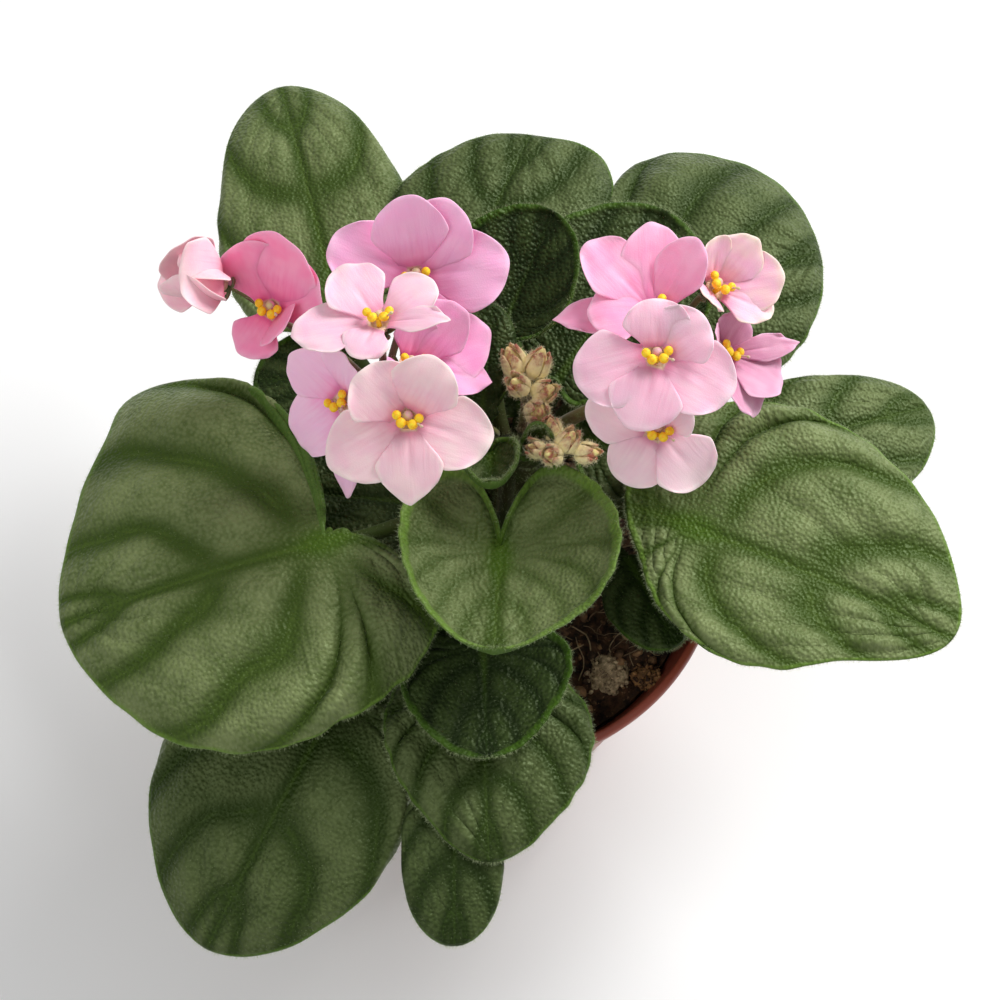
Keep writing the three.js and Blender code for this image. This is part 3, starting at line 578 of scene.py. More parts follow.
def rounded(corners, radius, steps):
    """A line through corners, with each one inside it rounded by a quadratic curve that starts
    this far, or 0.45 of the shorter side, before the corner."""
    corners = np.asarray(corners, float)
    line = [corners[:1]]
    for before, corner, after in zip(corners, corners[1:], corners[2:]):
        sides = np.linalg.norm(corner - before), np.linalg.norm(after - corner)
        reach = min(radius, 0.45 * min(sides))
        enter = corner + unit(before - corner) * reach
        leave = corner + unit(after - corner) * reach
        line.append(bend(enter, corner, leave, steps))
    line.append(corners[-1:])
    return np.concatenate(line)


def joined(parts):
    """One mesh of several: their points, their faces, renumbered, and the values that each has."""
    points = np.concatenate([part[0] for part in parts])
    starts = np.cumsum([0] + [len(part[0]) for part in parts[:-1]])
    faces = np.concatenate([part[1] + start for part, start in zip(parts, starts)])
    names = parts[0][2].keys()
    values = {name: np.concatenate([part[2][name] for part in parts]) for name in names}
    return points, faces, values


def plain(mesh):
    """The points and faces of a mesh, with no values."""
    return mesh[0], mesh[1], {}


def scattered(points, faces, count, rng):
    """Random places on a mesh and their normals. A face is drawn by its area, and two random
    shares of its sides, folded back where their sum is over one, give the place on it."""
    square = face_normals(points, faces)
    area = np.linalg.norm(square, axis=1)
    chosen = rng.choice(len(faces), count, p=area / area.sum())
    s, t = rng.random((2, count, 1))
    s, t = np.where(s + t > 1, 1 - s, s), np.where(s + t > 1, 1 - t, t)
    a, b, c = (points[faces[chosen, k]] for k in range(3))
    return a + s * (b - a) + t * (c - a), unit(square[chosen])


def new_object(name, data):
    """A new object of the scene that shows this mesh, lamp or camera."""
    item = bpy.data.objects.new(name, data)
    bpy.context.scene.collection.objects.link(item)
    return item


def add_piece(name, points, faces, material, slot, values=None, flat=False):
    """A Blender mesh of triangles, in metres, that rides on the part's body and takes the given
    material. The slot is not used. values are written as point attributes."""
    mesh = bpy.data.meshes.new(name)
    mesh.vertices.add(len(points))
    mesh.vertices.foreach_set("co", (points * MM).astype(np.float32).ravel())
    mesh.loops.add(faces.size)
    mesh.loops.foreach_set("vertex_index", faces.astype(np.int32).ravel())
    mesh.polygons.add(len(faces))
    mesh.polygons.foreach_set("loop_start", np.arange(0, faces.size, 3, dtype=np.int32))
    mesh.polygons.foreach_set("use_smooth", np.full(len(faces), not flat))
    for label, value in (values or {}).items():
        kind = "FLOAT_VECTOR" if value.ndim == 2 else "FLOAT"
        field = "vector" if value.ndim == 2 else "value"
        attribute = mesh.attributes.new(label, kind, "POINT")
        attribute.data.foreach_set(field, value.astype(np.float32).ravel())
    mesh.update(calc_edges=True)
    mesh.materials.append(material)
    piece = new_object(name, mesh)
    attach(piece, BODY)
    return piece


def hairs(roots, directions, lengths, radius, rng):
    """Thin three-sided spikes: a triangle sunk a little in the surface, and a tip at each hair's
    length along its direction."""
    count = len(roots)
    along = unit(directions)
    across = unit(np.cross(along, rng.normal(size=(count, 3))))
    other = np.cross(along, across)
    lengths = np.broadcast_to(lengths, count)[:, None]
    foot = roots - along * HAIR_SUNK
    corners = [
        foot + radius * (math.cos(a) * across + math.sin(a) * other) for a in np.radians((0, 120, 240))
    ]
    points = np.stack([*corners, roots + along * lengths], axis=1).reshape(-1, 3)
    spike = np.array(((0, 2, 1), (0, 1, 3), (1, 2, 3), (2, 0, 3)))
    faces = (spike[None] + 4 * np.arange(count)[:, None, None]).reshape(-1, 3)
    return points, faces, {"tip": np.tile((0.0, 0.0, 0.0, 1.0), count)}


def fuzz_on(points, faces, rng, count, lean, length, radius, lift=0.0, vary=False):
    """Hairs at random places on a mesh, lifted off it by lift. Each points along the normal plus
    lean times a random vector. They have one length, or vary from 0.6 to 1.1 of it."""
    roots, normals = scattered(points, faces, count, rng)
    directions = normals + lean * rng.normal(size=normals.shape)
    lengths = length * (0.6 + 0.5 * rng.random(count)) if vary else length
    return hairs(roots + lift * normals, directions, lengths, radius, rng)


# Leaves


def ring_curve(values, place):
    """Smooth closed curve through equally spaced values: a Catmull-Rom cubic between the two
    values that the place lies between."""
    values = np.asarray(values, float)
    cell = np.floor(place).astype(int)
    f = place - cell
    a, b, c, d = (values[(cell + k) % len(values)] for k in (-1, 0, 1, 2))
    curve = (c - a) * f + (2 * a - 5 * b + 4 * c - d) * f**2 + (3 * b - a - 3 * c + d) * f**3
    return b + 0.5 * curve


def edge_reach(leaf, side, angle):
    """Distance from the base to the edge: the ring curve through the leaf's lengths, with
    shallow scallops where the veins end."""
    own, other = (leaf["left"], leaf["right"]) if side > 0 else (leaf["right"], leaf["left"])
    ring = (leaf["length"], *own, leaf["sinus"], *other[::-1])
    reach = np.maximum(ring_curve(ring, angle / np.pi * (len(own) + 1)), 1.2)
    scallops = 0.3 * np.cos(20 * angle) + 0.25 * np.cos(33 * angle + leaf["heading"])
    return reach + scallops * np.clip(reach / 40, 0, 1) * np.sin(angle)


def vein_phase(angle):
    """Counts the veins from the tip round to the sinus: it is a whole number on each, and they
    end at 5, 17, 36, 60, 90, 126 and 167 degrees."""
    return 0.42 * np.degrees(angle) ** 0.55


def vein_wave(angle, place):
    """None on a vein and one half way to the next: a sine over the veins' count, its lines moved
    a little by lumps."""
    return np.abs(np.sin(np.pi * (vein_phase(angle) + 0.12 * lumps(place, 14, 4))))


def risen_share(share, angle):
    """How far the pillows have risen from the base: soon for the front veins, later for the back
    ones, which start close together."""
    back = smooth(angle, math.radians(30), math.radians(75))
    return smooth(share - 0.12 * back, 0, 0.2 + 0.4 * back)


def relief(leaf, share, angle, x, y, place, wave, risen):
    """Height of the blade over its plain form: round pillows between the veins, none on a vein
    and most half way between, lower where the veins are close and at the back, with small rows
    across them, a groove along the midrib, fine pebbles, and a margin that turns up or down and
    waves."""
    quilt = leaf["quilt"]
    inside = risen * (1 - smooth(share, 0.72, 1.04)) * np.clip(y / 5, 0, 1)
    spacing = 0.076 * np.hypot(x, y) * np.degrees(angle) ** 0.45
    back = smooth(angle, math.radians(95), math.radians(145))
    raised = inside * np.clip(spacing / 21, 0, 1) * (1 - 0.8 * back)
    uneven = 0.85 + 0.35 * lumps(place, 12, 5)
    pillows = RELIEF["pillow"] * quilt * leaf["depth"] * wave**0.9 * raised * uneven
    count = 4.3 * share + 0.6 * np.sin(2.6 * angle) + 0.25 * lumps(place, 9, 6)
    rows = np.abs(np.sin(np.pi * count)) - 0.6
    small = RELIEF["row"] * quilt * rows * np.sqrt(wave) * inside
    groove = -np.exp(-((y / RELIEF["groove_width"]) ** 2)) * groove_depth(leaf, x)
    pebbles = RELIEF["pebble"] * lumps(place, 2.8, 1) * (1 - smooth(share, 0.92, 1))
    swells = RELIEF["swell"] * lumps(place, 19, 3) * np.clip(y / 6, 0, 1)
    margin = leaf["margin"] * smooth(share, 0.84, 1) ** 2
    ripple = RELIEF["ripple"] * np.sin(9 * angle + leaf["heading"]) * smooth(share, 0.7, 1)
    return pillows + small + groove + pebbles + swells * min(quilt, 1) + margin + ripple


def groove_depth(leaf, x):
    """Depth of the groove along the midrib: deepest near the base and gone at the tip, falling
    in proportion to the length."""
    return RELIEF["groove"] * np.clip(1.1 - x / leaf["length"], 0, 1) * smooth(x, -2, 6)


def on_leaf(leaf, x, y, height):
    """Puts a point of the flat leaf on the bent and turned one: the midrib is an arc that turns
    down by droop over the leaf's length, starts at the pitch and heads along the heading."""
    pitch = math.radians(leaf["pitch"])
    turn = math.radians(leaf["droop"]) * np.clip(x / leaf["length"], -0.5, 1.2)
    reach = chord(x, turn)
    ahead = reach * np.cos(pitch - turn / 2) - height * np.sin(pitch - turn)
    up = reach * np.sin(pitch - turn / 2) + height * np.cos(pitch - turn)
    heading = math.radians(leaf["heading"])
    base = leaf["base"]
    return np.stack([
        base[0] + ahead * math.cos(heading) - y * math.sin(heading),
        base[1] + ahead * math.sin(heading) + y * math.cos(heading),
        base[2] + up,
    ], axis=-1)


def blade_side(leaf, side, share, angle):
    """One side of the blade. share runs from the midrib (0) to the edge (1) along a vein, and
    angle from the tip round to the sinus. A vein leaves the midrib nearer the base the further
    back it ends. The front veins are quarter ellipses, which leave the midrib squarely and then
    run forward along the edge, and the back ones are straight. The side is bent up or down
    across by the cup."""
    reach = edge_reach(leaf, side, angle)
    edge_x, edge_y = reach * np.cos(angle), reach * np.sin(angle)
    start = 0.9 * leaf["length"] * np.maximum(1 - angle / math.radians(48), 0) ** 1.6
    arc = 1 - smooth(angle, math.radians(40), math.radians(110))
    ahead = arc * (1 - np.cos(share * np.pi / 2)) + (1 - arc) * share
    aside = arc * np.sin(share * np.pi / 2) + (1 - arc) * share
    sideways = np.exp(-(((angle - math.radians(75)) / math.radians(28)) ** 2))
    bow = 0.5 * share * (1 - share) * edge_y * sideways
    x = start + (edge_x - start) * ahead - bow
    y = edge_y * aside
    cup = math.radians(leaf["cup"][0 if side > 0 else 1])
    turn = cup * y / leaf["half"]
    across = chord(y, turn)
    place = flat_place(x, side * y, leaf["heading"])
    wave, risen = vein_wave(angle, place), risen_share(share, angle)
    height = relief(leaf, share, angle, x, y, place, wave, risen) + across * np.sin(turn / 2)
    points = on_leaf(leaf, x, side * across * np.cos(turn / 2), height)
    # This value, kept as "vein", masks the leaf's painted shade in the hollows and painted sheen on the
    # pillows.
    shade = wave * risen + 0.45 * (1 - risen)
    shade = 0.62 + (shade - 0.62) * leaf["depth"]
    width = (1.2 + 0.65 * max(leaf["margin"], 0)) / np.maximum(reach, 12)
    values = {
        "edge": share * np.clip((y + 0.2 * np.maximum(x, 0)) / 3, 0.4, 1),
        "vein": shade * np.clip(y / 3, 0, 1),
        "rim": smooth(share, 1 - width, 1 - 0.35 * width) * np.clip(y / 4, 0, 1),
        "rib": np.exp(-((y / 1.5) ** 2)) * np.clip(1 - x / (0.75 * leaf["length"]), 0, 1),
        "heart": leaf["tone"] * np.exp(-((x / 7.0) ** 2) - (y / 4.0) ** 2),
        "place": place,
        "tone": np.full_like(x, leaf["tone"]),
    }
    return points, values


def blade_sheet(leaf):
    """Both sides of the blade on one grid each, welded along the midrib and the sinus. The
    veins' angles are closest together near the tip."""
    large = leaf["length"] + leaf["half"] > LARGE_FROM
    turns, steps = LARGE_BLADE if large else SMALL_BLADE
    turning = np.pi * np.linspace(0, 1, turns + 1) ** 1.25
    share, angle = np.meshgrid(np.linspace(0, 1, steps + 1), turning)
    sides = []
    for side in (1, -1):
        points, values = blade_side(leaf, side, share, angle)
        faces = grid_faces(turns + 1, steps + 1)
        faces = faces if side > 0 else faces[:, ::-1]
        flat = {name: value.reshape(share.size, -1).squeeze() for name, value in values.items()}
        sides.append((points.reshape(-1, 3), faces, flat))
    return weld(*joined(sides))


def petiole_path(leaf):
    """The petiole rises from the crown in a curve, meets the blade at its base and runs out
    under the midrib."""
    base = on_leaf(leaf, np.array(0.0), 0.0, -PETIOLE["below"])
    ahead = on_leaf(leaf, np.array(1.0), 0.0, -PETIOLE["below"])
    start = np.array((CROWN["x"], CROWN["y"], leaf["root"]), float)
    outward = unit((base - start) * (1, 1, 0))
    start = start + 3 * outward
    span = np.linalg.norm(base - start)
    control = base + (base - ahead) * 0.45 * span - (0, 0, PETIOLE["sag"] * span)
    stem = bend(start, control, base, 22)
    share = np.linspace(0, 1, len(stem))
    stem_radii = PETIOLE["root_radius"] + (PETIOLE["joint_radius"] - PETIOLE["root_radius"]) * share
    rib_share = np.linspace(0.05, 0.8, 14)
    rib_radii = np.interp(rib_share, (0, 0.15, 0.32, 0.8), (1.8, 1.4, 1.0, 0.35))
    sunk = 0.8 * rib_radii + 0.3 + groove_depth(leaf, rib_share * leaf["length"])
    rib = on_leaf(leaf, rib_share * leaf["length"], 0.0, -sunk)
    return np.concatenate([stem, rib]), np.concatenate([stem_radii, rib_radii]), len(stem)


def leaf_with(name):
    """The leaf's own dimensions with its tone, its margin and the depth of its veins."""
    return dict(
        LEAVES[name],
        tone=LEAF_TONES.get(name, USUAL_TONE),
        margin=RAISED_MARGINS.get(name, USUAL_MARGIN),
        depth=VEIN_DEPTHS.get(name, 1),
    )


def rim_hairs(rim, base, rng):
    """Fuzz on a margin: hairs that stand out from it, some up and some down, 0.6 to 1.5 mm long,
    none close to the base."""
    middle, outward, normals = rim
    free = np.flatnonzero(np.linalg.norm(middle - base, axis=1) > 8)
    count = RIM_HAIRS * len(free)
    chosen = free[rng.integers(len(free), size=count)]
    directions = outward[chosen] + 0.7 * rng.normal(size=(count, 1)) * normals[chosen]
    directions += 0.35 * rng.normal(size=(count, 3))
    slide = 0.7 * rng.normal(size=(count, 1)) * np.cross(outward[chosen], normals[chosen])
    roots = middle[chosen] + slide - 0.25 * outward[chosen]
    return hairs(roots, directions, 0.6 + 0.9 * rng.random(count), 0.032, rng)


def add_leaf(name, finishes, rng):
    """A blade, its petiole and the fuzz on both."""
    leaf = leaf_with(name)
    points, faces, values = blade_sheet(leaf)
    half = BLADE_HALF_THICKNESS * (1 - 0.35 * smooth(values["edge"], 0.93, 1))
    blade, blade_faces, values, rim = thicken(points, faces, values, half)
    piece = add_piece(f"{name}_blade", blade, blade_faces, finishes["leaf"], "leaf", values)
    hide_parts(name)

    path, radii, joint = petiole_path(leaf)
    stem, stem_faces, share = tube(path, radii, 12)
    along = {"along": share * len(path) / joint}
    add_piece(f"{name}_petiole", stem, stem_faces, finishes["petiole"], "leaf", along)

    count = int(5 * len(path) * np.mean(radii)) + 120
    area = np.linalg.norm(face_normals(points, faces), axis=1).sum() / 2
    points, faces, values = joined([
        rim_hairs(rim, np.array(leaf["base"], float), rng),
        fuzz_on(stem, stem_faces, rng, count, **FUZZ["petiole"]),
        fuzz_on(points, faces, rng, int(BLADE_HAIRS * area), **FUZZ["blade"]),
    ])
    add_piece(f"{name}_fuzz", points, faces, finishes["fuzz"], "leaf", values, flat=True)


# Blooms


def bloom_frame(bloom):
    """The bloom's throat, and its right, up and outward directions."""
    out = unit(bloom["facing"])
    right = unit(np.array((1.0, 0, 0)) - out * out[0])
    return np.array(bloom["at"], float), right, np.cross(out, right), out


def in_bloom(bloom, x, y, z):
    """Points at these distances to the right, up and out from a bloom's throat."""
    at, right, up, out = bloom_frame(bloom)
    x, y, z = (np.asarray(v, float)[..., None] for v in (x, y, z))
    return at + x * right + y * up + z * out


def petal_width(share):
    """Share of the half width: narrow at the throat, full at six tenths, round at the tip."""
    tip = np.maximum((share - 0.55) / 0.45, 0)
    return (0.38 + 0.62 * smooth(share, 0, 0.6)) * (1 - 0.2 * tip**1.35)


def petal_side(bloom, petal, share, v, phase, point, layer):
    """One petal. share runs along it and v from edge to edge, where it is a quarter shorter. It
    rises at its lift, curls by its curl, is a shallow bowl, and has a slow and a fast wave along
    its rim, which is notched a little. A pointed one gets shorter in proportion to the distance
    from its middle line. The petals of the upper layer lie a little higher than the others."""
    turn, length, half_width, lift, curl = petal
    edge = np.abs(v)
    notches = 0.05 * np.cos(4 * v + phase) + 0.014 * np.sin(8 * v + 3 * phase)
    drop = (1 - point) * v**2 + 1.25 * point * edge + notches
    u = share * (1 - 0.26 * share * drop)
    bending = math.radians(curl) * u
    reach = chord(length * u, bending)
    slope = math.radians(lift) - bending / 2
    ahead = COROLLA["throat"] + reach * np.cos(slope)
    across = half_width * petal_width(share) * v
    size = PETAL_RELIEF
    ruffle = size["ruffle"] * share**3 * smooth(edge, 0.2, 1) * np.sin(2.8 * v + 4 * share + phase)
    ruffle += size["fine"] * share**4 * np.sin(8 * v + 7 * share + 2 * phase)
    tip = size["tip"] * share**5 * np.sin(3.5 * v + 1.7 * phase)
    middle = np.exp(-((v / 0.14) ** 2))
    crease = -size["crease"] * middle * np.sin(np.pi * np.minimum(share * 1.5, 1))
    bowl = size["bowl"] * half_width * v**2 * share * (1 + 0.5 * np.cos(phase))
    layered = size["layer"] * layer * smooth(share, 0.05, 0.4)
    rise = reach * np.sin(slope) + ruffle + tip + crease + bowl + layered
    angle = math.radians(turn)
    return in_bloom(
        bloom,
        ahead * math.cos(angle) - across * math.sin(angle),
        ahead * math.sin(angle) + across * math.cos(angle),
        rise,
    ), across, length * u


def add_bloom(name, finishes, rng):
    """Petals round a short tube, the two pairs of anther lobes and the pistil."""
    bloom = BLOOMS[name]
    rows, columns = PETAL_GRID
    v, share = np.meshgrid(np.linspace(-1, 1, columns), np.linspace(0, 1, rows))
    parts = []
    for number, petal in enumerate(bloom["petals"]):
        phase = rng.uniform(0, 2 * np.pi)
        point = POINTED.get((name, number), 0)
        points, across, along = petal_side(bloom, petal, share, v, phase, point, number % 2)
        values = {
            "edge": np.maximum(share, np.abs(v) * smooth(share, 0.1, 0.5)).ravel(),
            "along": share.ravel(),
            "place": flat_place(across, along, 7.0 * number).reshape(-1, 3),
        }
        sheet = thicken(
            points.reshape(-1, 3), grid_faces(rows, columns)[:, ::-1], values,
            PETAL_HALF_THICKNESS * (1 - 0.5 * smooth(values["edge"], 0.75, 1)),
        )
        parts.append(sheet[:3])
    parts.append(throat_funnel(bloom))
    points, faces, values = joined(parts)
    slot = BLOOM_COLOURS[name][-1]
    piece = add_piece(f"bloom_{name}_petals", points, faces, finishes[f"petal_{name}"], slot, values)
    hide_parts(f"bloom_{name}")
    piece = add_piece(f"anthers_{name}_lobes", *anther_lobes(bloom), finishes["anther"], "anther")
    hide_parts(f"anthers_{name}")
    pistil = in_bloom(bloom, *bend((1.6, -0.6, 0.6), (2.2, -0.5, 3.4), (3.6, -1.4, 5.0), 10).T)
    radii = np.interp(np.arange(11), (0, 8, 9, 10), (0.3, 0.22, 0.42, 0.36))
    style = plain(tube(pistil, radii, 8))
    ovary = plain(ball(in_bloom(bloom, 0, 1.0, 0.9), (1.25, 1.25, 1.3), np.eye(3), 12, 18))
    add_piece(f"pistil_{name}", *joined([style, ovary])[:2], finishes["pistil"], slot)


def throat_funnel(bloom):
    """The short tube behind the petals, flaring to meet them: a ring profile round the bloom's
    axis, with a wall that closes on itself."""
    reach = COROLLA["tube_length"]
    outside = ((0, -reach), (1.8, -reach), (2.3, -1.0), (2.9, 0.0))
    inside = ((3.1, 0.3), (2.1, -0.1), (1.2, -1.2), (0, -1.4))
    profile = rounded((*outside, *inside), 0.5, 4)
    points, faces = turned(profile, 24)
    values = {
        "edge": np.zeros(len(points)),
        "along": np.clip(points[:, 2] / 20, 0, 1),
        "place": points.copy(),
        "under": np.zeros(len(points)),
    }
    return in_bloom(bloom, *points.T), faces, values


def ball(centre, radii, axes, rows=9, columns=14):
    """An egg shape: a sphere stretched by three radii along three axes, on a grid of height and
    turn, with one point at each pole."""
    height, turn = np.meshgrid(
        np.linspace(0, np.pi, rows), np.linspace(0, 2 * np.pi, columns, endpoint=False), indexing="ij",
    )
    local = np.stack([
        radii[0] * np.sin(height) * np.cos(turn),
        radii[1] * np.sin(height) * np.sin(turn),
        radii[2] * np.cos(height),
    ], axis=-1).reshape(-1, 3)
    points = np.asarray(centre) + local @ np.asarray(axes)
    points, faces, _ = weld(points, grid_faces(rows, columns, closed=True)[:, ::-1], {})
    return points, faces


def anther_lobes(bloom):
    """Two pairs of round lobes, one lobe above the other in each, on a short foot."""
    _, right, up, out = bloom_frame(bloom)
    turn = 0.5 * math.sin(7 * bloom["at"][0] + bloom["at"][1])
    cosine, sine = math.cos(turn), math.sin(turn)
    parts = []
    for side in (-1, 1):
        for x, y, size in ((2.65, 0.85, 1.0), (1.4, -0.8, 1.1)):
            x, y = side * x * cosine - y * sine, side * x * sine + y * cosine
            centre = in_bloom(bloom, x, y, ANTHER_HEIGHT)
            radii = [size * share for share in (1.1, 1.15, 0.95)]
            parts.append(plain(ball(centre, radii, (right, up, out), 12, 18)))
    line = np.array(((0, -0.8, -0.6), (0, -0.8, 0.6), (0, -0.7, ANTHER_HEIGHT - 0.8)))
    parts.append(plain(tube(in_bloom(bloom, *line.T), (0.7, 0.6, 0.6), 8)))
    return joined(parts)[:2]


# Stalks, calyces and buds


def sepal(root, outward, rise, length, half_width, curl):
    """A narrow pointed blade: an arc of this length from its root, bent towards rise by curl
    degrees, widest at a quarter, with its edges a little higher than its middle."""
    v, share = np.meshgrid(np.linspace(-1, 1, 5), np.linspace(0, 1, 9))
    outward, rise = unit(outward), unit(rise)
    across = np.cross(rise, outward)
    turn = math.radians(curl) * share
    reach = chord(length * share, turn)
    width = half_width * (1 - share) ** 0.7 * (0.55 + 1.8 * share)
    lifted = reach * np.sin(turn / 2) + 0.3 * width * v**2
    points = (
        np.asarray(root)
        + (reach * np.cos(turn / 2))[..., None] * outward
        + (width * v)[..., None] * across
        + lifted[..., None] * rise
    )
    values = {"along": share.ravel()}
    sheet = thicken(points.reshape(-1, 3), grid_faces(9, 5)[:, ::-1], values, 0.22)
    return sheet[:3]


def calyx(bloom, rng):
    """Five sepals in a star behind the bloom, round the end of its pedicel."""
    _, right, up, out = bloom_frame(bloom)
    back = in_bloom(bloom, 0, 0, -COROLLA["tube_length"] - 1.6)
    parts = []
    for k in range(5):
        angle = 2 * np.pi * (k + 0.1) / 5
        spoke = right * math.cos(angle) + up * math.sin(angle)
        length = rng.uniform(4.6, 5.6)
        parts.append(sepal(back + 0.7 * spoke, spoke + 0.35 * out, out - 0.35 * spoke, length, 1.25, 35))
    cup = ball(back, (1.3, 1.3, 1.0), (right, up, out))
    parts.append((*cup, {"along": np.zeros(len(cup[0])), "under": np.zeros(len(cup[0]))}))
    return joined(parts)


def add_flower_stalks(cluster, finishes, rng):
    """The main stalk rises from the crown to its fork, and a pedicel goes from there to the back
    of each bloom, which sits in its calyx."""
    foot, fork = (np.array(FLOWER_STALKS[cluster][end], float) for end in ("foot", "fork"))
    control = foot + 0.35 * (fork - foot)
    control[2] = fork[2] - 4
    main = bend(foot, control, fork, 20)
    parts = [
        plain(tube(main, np.linspace(1.9, 1.6, len(main)), 12)),
        plain(ball(fork, (2.0, 2.0, 2.2), np.eye(3))),
    ]
    stars = []
    for name, bloom in BLOOMS.items():
        if not name.startswith(cluster):
            continue
        before, end = (in_bloom(bloom, 0, 0, -COROLLA["tube_length"] - d) for d in (10, 2))
        pedicel = bend(fork, before, end, 16)
        parts.append(plain(tube(pedicel, np.linspace(1.0, 0.85, len(pedicel)), 9)))
        stars.append(calyx(bloom, rng))
    stalk, star = joined(parts), joined(stars)
    piece = add_piece(f"stalks_{cluster}", *stalk[:2], finishes["stalk"], "stalk")
    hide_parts(f"flower_stalks_{cluster}")
    add_piece(f"calyces_{cluster}", *star[:2], finishes["sepal"], "stalk", star[2])
    points, faces, values = joined([
        fuzz_on(*stalk[:2], rng, **FUZZ["stalks"]),
        fuzz_on(*star[:2], rng, **FUZZ["calyces"]),
    ])
    add_piece(f"stalk_fuzz_{cluster}", points, faces, finishes["fuzz"], "stalk", values, flat=True)


def bud_radius(share):
    """Radius of a bud over its length: round at the stalk, widest at a third, closing to a tip."""
    return 0.36 * np.sqrt(np.clip(share * 3, 0, 1)) * (1 - smooth(share, 0.3, 1.1)) ** 0.6


def bud_parts(at, toward, length, rng):
    """A closed bud and the five sepals that lie on it, each wrapped round the bud's own radius
    and standing off it towards the tip."""
    along = unit(toward)
    right = unit(np.cross(along, (0.3, 1.0, 0.2)))
    other = np.cross(along, right)
    share = np.linspace(0, 1, 12)
    path = np.asarray(at) + (share * 1.15 - 0.2)[:, None] * length * along
    body = tube(path, np.maximum(bud_radius(share) * length, 0.12), 14)
    v, s = np.meshgrid(np.linspace(-1, 1, 7), np.linspace(0.02, 1, 12))
    sepals = []
    for k in range(5):
        wrap = v * 0.62 * (1 - s) ** 0.6 * (0.7 + 1.2 * s)
        angle = 2 * np.pi * (k + rng.uniform(-0.1, 0.1)) / 5 + wrap
        flare = rng.uniform(0.2, 0.9) * s**3
        radius = length * bud_radius(0.85 * s) + 0.35 + flare + 0.25 * (1 - v**2)
        spoke = np.cos(angle)[..., None] * right + np.sin(angle)[..., None] * other
        centre = np.asarray(at) + ((s * rng.uniform(0.95, 1.2) - 0.22) * length)[..., None] * along
        points = (centre + radius[..., None] * spoke).reshape(-1, 3)
        sepals.append(thicken(points, grid_faces(12, 7), {"along": s.ravel()}, 0.2)[:3])
    return (body[0], body[1], {"along": body[2]}), sepals


def add_bud_stalk(name, finishes, rng):
    """A short stalk that forks to its buds, each in its sepals and thickly haired."""
    spray = BUD_STALKS[name]
    foot, fork = (np.array(spray[end], float) for end in ("foot", "fork"))
    stems = [plain(tube(bend(foot, (foot + fork) / 2 + (0.6, -0.6, 0), fork, 10), 1.25, 12))]
    bodies, sepals = [], []
    for at, toward, length in spray["buds"]:
        at = np.array(at, float)
        middle = (fork + at) / 2 + (0, 0, -0.8)
        stems.append(plain(tube(bend(fork, middle, at, 8), 0.8, 9)))
        body, wraps = bud_parts(at, toward, length, rng)
        bodies.append(body)
        sepals.extend(wraps)
    stem, bud, wrap = joined(stems), joined(bodies), joined(sepals)
    piece = add_piece(f"{name}_stems", *stem[:2], finishes["stalk"], "stalk")
    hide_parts(name)
    add_piece(f"{name}_buds", *bud[:2], finishes["bud"], "bud", bud[2])
    add_piece(f"{name}_sepals", *wrap[:2], finishes["bud_sepal"], "bud", wrap[2])
    points, faces, values = joined([
        fuzz_on(*wrap[:2], rng, **FUZZ["bud_sepals"]),
        fuzz_on(*stem[:2], rng, **FUZZ["bud_stems"]),
    ])
    add_piece(f"{name}_fuzz", points, faces, finishes["bud_fuzz"], "bud", values, flat=True)


def add_crown(finishes, rng):
    """The short thick stem: a cylinder with a rounded top, its radius moved by lumps, with hairs
    above the mix."""
    low, top, radius = CROWN["bottom"], CROWN["top"], CROWN["radius"]
    corners = ((0, low), (radius, low), (radius, top - 10), (radius - 4, top), (0, top + 1))
    points, faces = turned(rounded(corners, 4, 8), 48)
    push = 0.5 * lumps(points, 3.5, 5) * np.clip(np.hypot(points[:, 0], points[:, 1]) / 3, 0, 1)
    points = points + push[:, None] * unit(points * (1, 1, 0)) + (CROWN["x"], CROWN["y"], 0)
    # The crown takes the petioles' finish, darkened as painted shade.
    piece = add_piece("crown_stem", points, faces, finishes["petiole"], "crown")
    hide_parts("crown")
    above = faces[points[faces].mean(axis=1)[:, 2] > SOIL_TOP]
    points, faces, values = fuzz_on(points, above, rng, **FUZZ["crown"])
    add_piece("crown_fuzz", points, faces, finishes["fuzz"], "crown", values, flat=True)


# Pot and potting mix


def pot_radius(z):
    """Outer radius of the tapered body: a straight line from the foot to just inside the rim."""
    top = POT["rim_radius"] - POT["collar_step"]
    return POT["foot_radius"] + (top - POT["foot_radius"]) * z / POT["height"]


def pot_profile():
    """Cross-section of the pot, from the middle of its underside out, up the outside, over the
    rolled rim, down the inside and back to the middle."""
    height, wall, floor = POT["height"], POT["wall"], POT["floor"]
    rim = POT["rim_radius"]
    foot = height - POT["collar_height"]
    body = pot_radius(foot)
    outside = ((0, 0), (POT["foot_radius"], 0), (body, foot), (body + 2, foot + 1.5))
    over = ((rim, height - 1.2), (rim - 0.7, height), (rim - wall - 0.5, height))
    inside = ((body - wall + 1, foot + 3), (body - wall, foot))
    bottom = ((pot_radius(floor) - wall, floor), (0, floor))
    return rounded((*outside, *over, *inside, *bottom), 1.1, 4)


